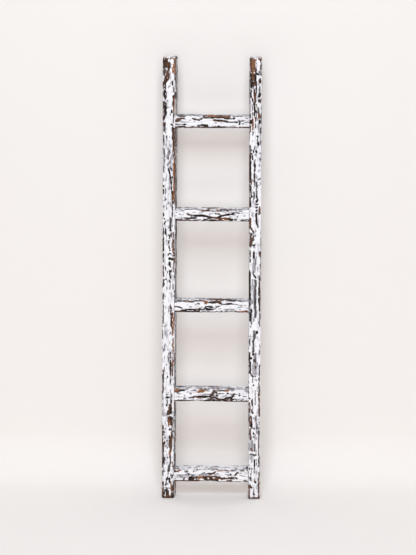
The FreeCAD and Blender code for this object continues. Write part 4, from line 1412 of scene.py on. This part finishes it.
# %% Scattered marks
SCATTER = {
    "grey": {"per_metre": 16, "wide": (2.0, 5.0), "long": (8, 40)},
    "smoke": {"per_metre": 16, "wide": (1.0, 2.4), "long": (3, 34)},
    "tan": {"per_metre": 3, "wide": (1.2, 2.4), "long": (8, 40)},
    "bare": {"per_metre": 6, "wide": (1.0, 2.4), "long": (8, 50)},
    "dark": {"per_metre": 12, "wide": (0.7, 1.8), "long": (3, 40)},
    "crack": {"per_metre": 10, "wide": (0.6, 1.4), "long": (2, 24)},
    "rubbed": {"per_metre": 4, "wide": (1.0, 2.0), "long": (10, 60)},
    "daub": {"per_metre": 6, "wide": (1.4, 2.6), "long": (3, 14)},
}
NICKS = {
    "smoke": {"per_metre": 90, "wide": (0.8, 1.3), "long": (1, 6)},
    "dark": {"per_metre": 60, "wide": (0.4, 0.7), "long": (1, 5)},
}
CORNER_SHARE = 0.4
SLANT = 0.06
SAWN_TOP_LOST = 0.46
SAWN_FOOT_LOST = 0.62
RIM_WIDE = 2.2 * MM
END_WEAR = 1.5 * MM
FOOT_WEAR_AND_SHADE = 2.6 * MM
MOUTH_RADIUS = 4.6 * MM
MOUTH_DARK = 0.85


def scatter(wear, plans, low, high, random):
    """Throws marks on the girths between low and high, many of them along a corner."""
    timber = wear.timber
    back_corner = timber.half_across + 2 * timber.half_depth
    corners = [side * corner for side in (-1, 1) for corner in (timber.half_across, back_corner)]
    corners = [corner for corner in corners if low - MM < corner < high + MM]
    for kind, plan in plans.items():
        for _ in range(round(plan["per_metre"] * (timber.end - timber.start))):
            width = random.uniform(*plan["wide"]) * MM
            length = random.uniform(*plan["long"]) * MM
            girth = random.uniform(low, high)
            if random.random() < CORNER_SHARE and corners:
                girth = corners[random.integers(len(corners))] + random.normal() * MM
            along = random.uniform(timber.start, timber.end - length)
            far_girth = girth + random.normal(0, SLANT) * length
            wear.mark(kind, width, [(girth, along), (far_girth, along + length)])


def turned_marks(wear, marks, girth, end_for_end):
    """Puts marks that were read off a front on another face, whose middle is at a girth.

    The two counts of girth meet in the middle of the back, so each mark is put in both of them.
    A mark that runs past its own face is left out.
    """
    timber = wear.timber
    whole_way = 4 * (timber.half_across + timber.half_depth)
    for kind, width, points in marks:
        if max(abs(x) for x, along in points) > timber.half_across:
            continue
        if end_for_end:
            points = [(-x, timber.start + timber.end - along) for x, along in points]
        for lap in (0, -whole_way):
            wear.mark(kind, width, [(girth + lap + x, along) for x, along in points])


def open_ends(wear):
    """The sawn ends of a rail, with a darker rim. The top kept some of its paint, and the foot less. A dark
    band round the foot is partly floor wear and partly painted contact shade.
    """
    timber = wear.timber
    end_noise = wear.noise(2.5, 2.5)
    to_side = np.minimum(timber.half_across - np.abs(timber.across), timber.half_depth - np.abs(timber.depth))
    rim = np.exp(-(to_side / RIM_WIDE) ** 2)
    on_top = timber.on_end & (timber.normals[:, UP] > 0)
    sawn = np.where(on_top, SAWN_TOP_LOST, SAWN_FOOT_LOST) + 0.25 * end_noise + 0.24 * rim
    edge = np.where(timber.on_end, 0, np.exp(-(timber.to_end / END_WEAR) ** 2))
    wear.lost = np.where(timber.on_end, sawn, wear.lost + edge * (0.55 + 0.3 * end_noise))
    wear.dark = np.where(timber.on_end, 0.42 + 0.16 * end_noise + 0.3 * rim, wear.dark)
    wear.dark += ramp(edge, 0.2, 0.7) * (0.42 + 0.2 * end_noise - wear.dark)
    # Painted shade in part: the dark band round the bottom of the foot stands for floor wear and for the
    # contact shadow under it.
    foot = np.exp(-(timber.points[:, UP] / FOOT_WEAR_AND_SHADE) ** 2)
    wear.lost += foot * (0.75 + 0.3 * end_noise)
    wear.dark += ramp(foot, 0.2, 0.6) * (0.80 + 0.15 * end_noise - wear.dark)


def screw_mouths(wear):
    """Dark torn paint round each screw's mouth in the outer face of a rail."""
    timber = wear.timber
    outward = timber.points[:, 0] * np.sign(timber.points[:, 0].mean())
    outside = outward > abs(timber.points[:, 0]).mean()
    for number in range(1, RUNG_COUNT + 1):
        rung_middle = timbers[f"rung_{number}"].middle
        away = np.hypot(timber.points[:, 1], timber.points[:, UP] - rung_middle)
        close = np.clip(1 - (1 - OUTLINE) * away / MOUTH_RADIUS, 0, 1)
        close = np.where(outside, close, 0)
        wear.lost = np.maximum(wear.lost, close + 0.06 * wear.noise(1.5, 1.5))
        wear.dark = np.where(close > OUTLINE, MOUTH_DARK, wear.dark)


# %% [markdown]
# ## Wear becomes relief
#
# The paint is a film of about a sixth of a millimetre, brushed on in ridges. Cracks and gouges go
# deeper, and a drawknife leaves long shallow waves. Near a joint the relief fades away, so that a
# rung still meets its rails without a gap.
#
# The left rail isn't quite square: from the front, more of its inner side shows than of the other
# rail's. So that side leans here, and the left ends of the rungs reach a little into it.

# %% Broken edges, relief, and the attributes that the finish reads
FILM = 0.16 * MM
WAVE = 0.30 * MM
RIDGE = 0.07 * MM
BITE = 0.75 * MM
FLECKS_KEPT = 0.54
JOINT_FADE = 4.0 * MM
LEAN_MIDDLE = 0.25 * MM
LEAN_BACK = 1.35 * MM
LAP = 1.6 * MM


def break_up(wear):
    """Leaves flecks of paint inside the bare patches, and lets the wood's tone wander."""
    flecks = ramp(wear.noise(1.5, 4.5), 0.10, 0.75)
    crack = ramp(wear.dark, 0.92, 0.98)
    wear.lost -= FLECKS_KEPT * flecks * (1 - crack)
    wear.dark += (1 - crack) * (0.16 * wear.noise(1.6, 7.0) + 0.12 * wear.noise(5.0, 16.0))


def carve(wear, corner):
    """Moves the points of a timber in and out, and stores the state of its paint."""
    timber = wear.timber
    mesh = timber.piece.data
    break_up(wear)
    gone = ramp(wear.lost, OUTLINE - 0.10, OUTLINE + 0.06)
    height = FILM * (1 - gone) - wear.deep
    height += WAVE * wear.noise(25.0, 80.0, 2) + RIDGE * wear.noise(1.6, 40.0)
    height -= BITE * corner * ramp(wear.noise(5.0, 8.0), 0.15, 0.9)
    if timber.grain == SIDEWAYS:
        height *= ramp(timber.to_end, 0, JOINT_FADE)
    moved = timber.points + height[:, None] * timber.normals
    if timber.node == "left_rail":
        leant = LEAN_MIDDLE + LEAN_BACK * timber.depth / timber.half_depth
        moved[:, 0] += leant * ramp(timber.across / timber.half_across, 0.2, 1.0)
    if timber.grain == SIDEWAYS:
        moved[:, 0] -= LAP * ramp(timber.start + JOINT_FADE - timber.along, 0, JOINT_FADE)
    mesh.vertices.foreach_set("co", moved.ravel())
    for name, values in (("lost", wear.lost), ("dark", wear.dark), ("thin", wear.thin)):
        attribute = mesh.attributes.new(name, "FLOAT", "POINT")
        attribute.data.foreach_set("value", values.astype(np.float32))
    mesh.update()


# %% [markdown]
# ## One timber after another
#
# The order is that of the workshop. The paint comes first, then the marks of the hidden faces, then
# those of the front. The saw's and the drill's work come last.

# %% Wear the rails and the rungs
RAIL_SEEDS = {"left_rail": 1000, "right_rail": 2000}
FIRST_RUNG_SEED = 4000
RUNG_SEED_STEP = 1000
EDGE_INSET = 1.9 * MM
FOOT_INSET = 1.3 * MM
LOWER_CORNER = 0.9 * MM
LOWER_CORNER_REACH = 1.9 * MM


def strip_and_shade_side(wear, inward):
    """The side of a rail that faces the rungs: little paint reached it, and less was left. Its thin grey
    paint is also painted shade, for the shade that side lies in.
    """
    timber = wear.timber
    past_front = timber.girth * inward - timber.half_across
    to_back = -2 * timber.half_depth
    side = ramp(past_front, -1.6 * MM, 0.4 * MM) * ramp(-past_front, to_back, to_back + MM)
    # Partly painted shade: the barer, thinner paint darkens this side, also for the shade it lies in between
    # the rails.
    wear.lost += side * (0.26 + 0.24 * wear.noise(5.0, 35.0))
    wear.thin += side * (0.46 + 0.35 * wear.noise(4.0, 30.0))


def rail_marks(timber, marks):
    """The marks of a rail's front in metres, held just inside the corners."""
    edge = timber.half_across - EDGE_INSET
    return [(kind, width * MM, [(min(max(x * MM, -edge), edge), z * MM) for x, z in points])
            for kind, width, *points in marks]


def worn_rail(name, own_marks, other_marks, inward):
    """Wears one rail. Its hidden faces get the marks of both fronts, and its own front its own."""
    timber = timbers[name]
    seed = RAIL_SEEDS[name]
    wear = Wear(timber, seed)
    corner = brush_on(wear)
    strip_and_shade_side(wear, inward)
    half_girth = 2 * (timber.half_across + timber.half_depth)
    random = np.random.default_rng(seed)
    scatter(wear, SCATTER, timber.half_across + 2 * MM, half_girth, random)
    scatter(wear, SCATTER, -half_girth, -timber.half_across - 2 * MM, random)
    scatter(wear, NICKS, -timber.half_across, timber.half_across, random)
    inner_side = inward * half_girth / 2
    own = rail_marks(timber, own_marks)
    others = rail_marks(timber, other_marks)
    turned_marks(wear, others, half_girth, False)
    turned_marks(wear, own, -inner_side, True)
    turned_marks(wear, others, inner_side, True)
    for mark in own:
        wear.mark(*mark)
    open_ends(wear)
    screw_mouths(wear)
    carve(wear, corner)
    return wear


def dab_top(wear):
    """The brush only dabbed at a rung's top face, so its paint changes every few millimetres."""
    timber = wear.timber
    top = ramp(timber.girth - timber.half_height, -0.5 * MM, MM)
    top *= ramp(timber.half_height + 2 * timber.half_depth - timber.girth, -0.5 * MM, MM)
    wear.thin += top * 0.45 * ramp(wear.noise(14.0, 4.0), 0.0, 0.7)
    wear.lost += top * (0.05 + 0.22 * wear.noise(12.0, 4.5))


def wear_and_shade_lower_corner(wear):
    """A rung's lower front corner is bared to dark wood nearly all along: partly wear, partly painted shade
    under the corner.
    """
    timber = wear.timber
    away = np.abs(timber.girth + timber.half_height - LOWER_CORNER)
    # Painted shade in part: the dark line along the lower corner also stands for the shade under it.
    wear.lost += np.exp(-(away / LOWER_CORNER_REACH) ** 2) * (0.70 + 0.30 * wear.noise(8.0, 18.0))


def rung_marks(timber, marks):
    """The marks of a rung's front in metres, held just above its lower corner."""
    return [(kind, width * MM, [(max(g * MM, FOOT_INSET) - timber.half_height, x * MM) for x, g in points])
            for kind, width, *points in marks]


def worn_rung(number):
    """Wears one rung. Its back and its underside get the marks of another rung's front."""
    timber = timbers[f"rung_{number}"]
    seed = FIRST_RUNG_SEED + RUNG_SEED_STEP * (number - 1)
    wear = Wear(timber, seed)
    corner = brush_on(wear)
    wear_and_shade_lower_corner(wear)
    dab_top(wear)
    half_girth = 2 * (timber.half_across + timber.half_depth)
    random = np.random.default_rng(seed)
    scatter(wear, SCATTER, half_girth - timber.half_across, half_girth, random)
    scatter(wear, SCATTER, -half_girth, -timber.half_across - 2 * MM, random)
    scatter(wear, NICKS, -timber.half_across, timber.half_across, random)
    others = rung_marks(timber, RUNG_MARKS[number % RUNG_COUNT + 1])
    turned_marks(wear, others, half_girth, True)
    turned_marks(wear, others, -half_girth / 2, False)
    for mark in rung_marks(timber, RUNG_MARKS[number]):
        wear.mark(*mark)
    carve(wear, corner)
    return wear


wears = {
    "left_rail": worn_rail("left_rail", LEFT_RAIL_MARKS, RIGHT_RAIL_MARKS, 1),
    "right_rail": worn_rail("right_rail", RIGHT_RAIL_MARKS, LEFT_RAIL_MARKS, -1),
}
for number in range(1, RUNG_COUNT + 1):
    wears[f"rung_{number}"] = worn_rung(number)
for name, wear in wears.items():
    print(name, f"bare share {np.mean(wear.lost > OUTLINE):.2f}, mean thinness {np.mean(wear.thin):.2f}")

# %% [markdown]
# ## Chipped white paint over stained wood
#
# The finish has two layers and a mask. The wood runs from raw orange pine to stain that is almost
# black. The paint runs from clean white to a grey film with the stain showing through. The mask is
# the stored loss of paint, frayed along the fibres, so that an edge of paint looks torn and not cut.
#
# The noises count their lumps per metre, across and along the grain.

# %% The painted timber finish
FIBRE = (1500.0, 120.0)
FLECK = (620.0, 240.0)
STREAK = (900.0, 40.0)
SPECK = (800.0, 420.0)
FRAY = 0.30
FLECKING = 0.26
SPECK_LEVEL = 0.735
PAINT_ROUGHNESS = 0.52
WOOD_ROUGHER = 0.28
FINISH_RELIEF = 0.4 * MM
WOOD_COLOURS = [
    (0.0, seen(162, 102, 58)),
    (0.25, seen(138, 92, 60)),
    (0.45, seen(114, 78, 57)),
    (0.65, seen(84, 57, 43)),
    (0.85, seen(50, 34, 27)),
    (1.0, seen(22, 15, 13)),
]
PAINT_COLOURS = [
    (0.0, seen(249, 249, 253)),
    (0.35, seen(232, 231, 237)),
    (0.6, seen(178, 176, 183)),
    (0.8, seen(120, 117, 122)),
    (1.0, seen(70, 66, 68)),
]


def chipped_paint(name, grain):
    """The finish of all the timbers whose grain runs one way."""
    finish = Finish(name)
    where = finish.node("ShaderNodeTexCoord", output="Object")

    def grained(per_metre, detail=3.0):
        across, along = per_metre
        scale = [across] * 3
        scale[grain] = along
        stretched = finish.node("ShaderNodeMapping", None, {"Vector": where, "Scale": scale})
        inputs = {"Vector": stretched, "Scale": 1.0, "Detail": detail, "Roughness": 0.6}
        return finish.node("ShaderNodeTexNoise", None, inputs)

    def stored(attribute):
        return finish.node("ShaderNodeAttribute", {"attribute_name": attribute}, output="Fac")

    fibre = grained(FIBRE)
    fleck = grained(FLECK)
    streak = grained(STREAK)
    frayed = stored("lost") + (fibre - 0.5) * FRAY + (fleck - 0.5) * FLECKING
    chipped = finish.step(frayed, OUTLINE, 0.035)
    specks = finish.step(grained(SPECK, 2.0), SPECK_LEVEL, 0.02)
    gone = finish.node("ShaderNodeMath", {"operation": "MAXIMUM"}, {0: chipped, 1: specks})
    darkness = stored("dark") + (fibre - 0.5) * 0.55 + (streak - 0.5) * 0.35
    wood = finish.node("ShaderNodeValToRGB", {"stops": WOOD_COLOURS}, {"Fac": darkness})
    thinness = stored("thin") * 0.92 + (fleck - 0.5) * 0.5 + (streak - 0.5) * 0.5
    paint = finish.node("ShaderNodeValToRGB", {"stops": PAINT_COLOURS}, {"Fac": thinness})
    finish.feed(finish.shader.inputs["Base Color"], finish.blended(gone, paint, wood))
    roughness = PAINT_ROUGHNESS + gone * WOOD_ROUGHER + (fleck - 0.5) * 0.2
    finish.feed(finish.shader.inputs["Roughness"], roughness)
    finish.feed(finish.shader.inputs["Specular IOR Level"], 0.3)
    height = (1.0 - gone) * 0.6 + fibre * 0.5 + streak * 0.3 - thinness * 0.15
    inputs = {"Strength": 0.6, "Distance": FINISH_RELIEF, "Height": height}
    finish.feed(finish.shader.inputs["Normal"], finish.node("ShaderNodeBump", None, inputs))
    return finish.material


rail_paint = chipped_paint("rail_paint", UP)
rung_paint = chipped_paint("rung_paint", SIDEWAYS)
for name, timber in timbers.items():
    is_rail = timber.grain == UP
    timber.piece.data.materials.append(rail_paint if is_rail else rung_paint)
    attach(timber.piece, "root")
    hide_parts(name)
print("painted timbers:", len(timbers))

# %% [markdown]
# ## The wood screws
#
# Each joint is a butt joint that one countersunk wood screw holds. Its head lies a little below
# the outer face of the rail. The body is turned: half of its outline is spun once round. The
# thread is a small ridge that is spun along a helix, and the cross recess is cut out of the head.

# %% A wood screw
HEAD_RADIUS = 3.5 * MM
HEAD_BREAK = 0.1 * MM
HEAD_EDGE = 0.35 * MM
HEAD_DEEP = 2.3 * MM
SHANK_RADIUS = 1.75 * MM
ROOT_RADIUS = 1.25 * MM
THREAD_RADIUS = 1.78 * MM
THREAD_HALF_WIDE = 0.45 * MM
THREAD_ROOT = 0.8 * ROOT_RADIUS
THREAD_START = 14.0 * MM
THREAD_RUNS_IN = 1.0 * MM
THREAD_STOPS_SHORT = 1.2 * MM
THREAD_PITCH = 1.9 * MM
POINT_LONG = 5.5 * MM
POINT_BLUNT = 0.12
TURN_STEPS = 40
THREAD_STEPS = 20
RECESS_HALF = 2.0 * MM
RECESS_WIDE = 0.95 * MM
RECESS_DEEP = 1.7 * MM
RECESS_FLOOR = (0.42, 0.7)


def turned(outline):
    """Spins an outline of (distance along X, radius) once round the X axis."""
    solid = bmesh.new()
    points = [solid.verts.new((x, 0.0, radius)) for x, radius in outline]
    edges = [solid.edges.new(pair) for pair in zip(points, points[1:])]
    bmesh.ops.spin(solid, geom=points + edges, cent=(0, 0, 0), axis=(1, 0, 0), angle=math.tau,
                   steps=TURN_STEPS, use_merge=True, use_duplicate=False)
    bmesh.ops.remove_doubles(solid, verts=solid.verts, dist=SEAM)
    bmesh.ops.recalc_face_normals(solid, faces=solid.faces)
    return solid


def screw_body(length):
    """The head, the smooth shank, the core under the thread and the point."""
    root_end = length - POINT_LONG
    return turned([
        (0.0, 0.0),
        (0.0, HEAD_RADIUS - HEAD_BREAK),
        (HEAD_BREAK, HEAD_RADIUS),
        (HEAD_EDGE, HEAD_RADIUS),
        (HEAD_DEEP, SHANK_RADIUS),
        (THREAD_START - THREAD_RUNS_IN, SHANK_RADIUS),
        (THREAD_START, ROOT_RADIUS),
        (root_end, ROOT_RADIUS),
        (length, 0.0),
    ])


def screw_thread(length):
    """A sharp ridge along a helix, which runs out on the point."""
    ridge = bmesh.new()
    profile = [(-THREAD_HALF_WIDE, THREAD_ROOT), (0.0, THREAD_RADIUS), (THREAD_HALF_WIDE, THREAD_ROOT)]
    points = [ridge.verts.new((THREAD_START + x, 0.0, radius)) for x, radius in profile]
    face = ridge.faces.new(points)
    turns = (length - THREAD_START - THREAD_STOPS_SHORT) / THREAD_PITCH
    steps = round(turns * THREAD_STEPS)
    bmesh.ops.spin(ridge, geom=[face, *face.edges, *face.verts], cent=(0, 0, 0), axis=(1, 0, 0),
                   dvec=(THREAD_PITCH / THREAD_STEPS, 0, 0), angle=math.tau * turns, steps=steps,
                   use_duplicate=False)
    root_end = length - POINT_LONG
    for vert in ridge.verts:
        past = max(0.0, vert.co.x - root_end) / POINT_LONG
        taper = max(POINT_BLUNT, 1 - past)
        vert.co.y *= taper
        vert.co.z *= taper
    bmesh.ops.recalc_face_normals(ridge, faces=ridge.faces)
    return ridge


def recess_cutter():
    """Two crossed wedges, wide at the mouth of the recess and narrow at its floor.

    They are turned by half a step of the head's spin, so that their corners miss its edges.
    """
    cross = bmesh.new()
    for quarter in (0, 1):
        made = bmesh.ops.create_cube(cross, size=1.0)["verts"]
        bmesh.ops.scale(cross, verts=made, vec=(2 * RECESS_DEEP, 2 * RECESS_HALF, RECESS_WIDE))
        for vert in made:
            if vert.co.x > 0:
                vert.co.y *= RECESS_FLOOR[0]
                vert.co.z *= RECESS_FLOOR[1]
        turn = Matrix.Rotation(math.radians(90 * quarter) + math.pi / TURN_STEPS, 3, "X")
        bmesh.ops.rotate(cross, verts=made, cent=(0, 0, 0), matrix=turn)
    return cross


def as_piece(name, mesh_source):
    """Turns a finished bmesh into an object of the scene."""
    mesh = bpy.data.meshes.new(name)
    mesh_source.to_mesh(mesh)
    mesh_source.free()
    piece = bpy.data.objects.new(name, mesh)
    bpy.context.scene.collection.objects.link(piece)
    return piece


def screw_shape(length):
    """One finished screw: its head at the origin, its point toward +X."""
    body = as_piece("screw_body", screw_body(length))
    cutter = as_piece("recess_cutter", recess_cutter())
    cut = body.modifiers.new("recess", "BOOLEAN")
    cut.operation = "DIFFERENCE"
    cut.solver = "EXACT"
    cut.use_self = True
    cut.object = cutter
    headed = evaluated(body)
    whole = screw_thread(length)
    whole.from_mesh(headed)
    bpy.data.objects.remove(body)
    bpy.data.objects.remove(cutter)
    return whole


# %% [markdown]
# The heads were brushed over with the rest of the ladder, and then rubbed. So the finish is dull
# zinc steel with a film of white paint that only holds in places.

# %% The painted-over steel finish
STEEL_COLOURS = [
    (0.30, seen(96, 92, 88)),
    (0.50, seen(150, 148, 146)),
    (0.70, seen(186, 184, 180)),
]
FILM_COLOUR = seen(232, 231, 235)
FILM_LEVEL = 0.56
STEEL_ROUGHNESS = 0.36
FILM_ROUGHER = 0.22
STEEL_RELIEF = 0.2 * MM


def painted_steel(name):
    """Dull zinc under a film of paint that holds in blotches."""
    finish = Finish(name)
    where = finish.node("ShaderNodeTexCoord", output="Object")
    blotch = finish.node("ShaderNodeTexNoise", None, {"Vector": where, "Scale": 520.0, "Detail": 4.0})
    scratch = finish.node("ShaderNodeTexNoise", None, {"Vector": where, "Scale": 2400.0, "Detail": 2.0})
    covered = finish.step(blotch + (scratch - 0.5) * 0.25, FILM_LEVEL, 0.03)
    steel = finish.node("ShaderNodeValToRGB", {"stops": STEEL_COLOURS}, {"Fac": scratch})
    finish.feed(finish.shader.inputs["Base Color"], finish.blended(covered, steel, FILM_COLOUR))
    finish.feed(finish.shader.inputs["Metallic"], 1.0 - covered)
    roughness = STEEL_ROUGHNESS + covered * FILM_ROUGHER + (scratch - 0.5) * 0.2
    finish.feed(finish.shader.inputs["Roughness"], roughness)
    inputs = {"Strength": 0.5, "Distance": STEEL_RELIEF, "Height": covered + scratch * 0.3}
    finish.feed(finish.shader.inputs["Normal"], finish.node("ShaderNodeBump", None, inputs))
    return finish.material


# %% [markdown]
# A screw goes wherever the frame has one. Each is made in place, on the axis of the frame's own
# screw, with its recess turned by a different amount.

# %% Put the screws in
TURN_EACH = 37.0
TURN_LEFT_SIDE = 11.0
SHARP_EDGE = math.radians(32)


def node_box(node):
    """The lowest and the highest corner of a frame node."""
    points = np.empty(len(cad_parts[node].data.vertices) * 3)
    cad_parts[node].data.vertices.foreach_get("co", points)
    points = points.reshape(-1, 3)
    return points.min(axis=0), points.max(axis=0)


screw_steel = painted_steel("screw_steel")
screw_count = 0
for side_name, on_left in (("left", True), ("right", False)):
    for number in range(1, RUNG_COUNT + 1):
        node = f"screw_{side_name}_{number}"
        low, high = node_box(node)
        middle = (low + high) / 2
        shape = screw_shape(float(high[0] - low[0]))
        degrees = TURN_EACH * number + (TURN_LEFT_SIDE if on_left else 0.0)
        turn = Matrix.Rotation(math.radians(degrees), 4, "X")
        face_in = Matrix.Rotation(0.0 if on_left else math.pi, 4, "Z")
        head = Vector((low[0] if on_left else high[0], middle[1], middle[2]))
        bmesh.ops.transform(shape, matrix=Matrix.Translation(head) @ face_in @ turn, verts=shape.verts)
        screw = as_piece(f"{node}_turned", shape)
        screw.data.materials.append(screw_steel)
        for face in screw.data.polygons:
            face.use_smooth = True
        screw.data.set_sharp_from_angle(angle=SHARP_EDGE)
        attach(screw, "root")
        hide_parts(node)
        screw_count += 1
print("screws:", screw_count, "each with", len(screw.data.polygons), "faces")

# %% [markdown]
# ## The picture
#
# Standard colours keep the whites as they are written.

# %% View
bpy.context.scene.view_settings.view_transform = "Standard"
print("view transform:", bpy.context.scene.view_settings.view_transform)
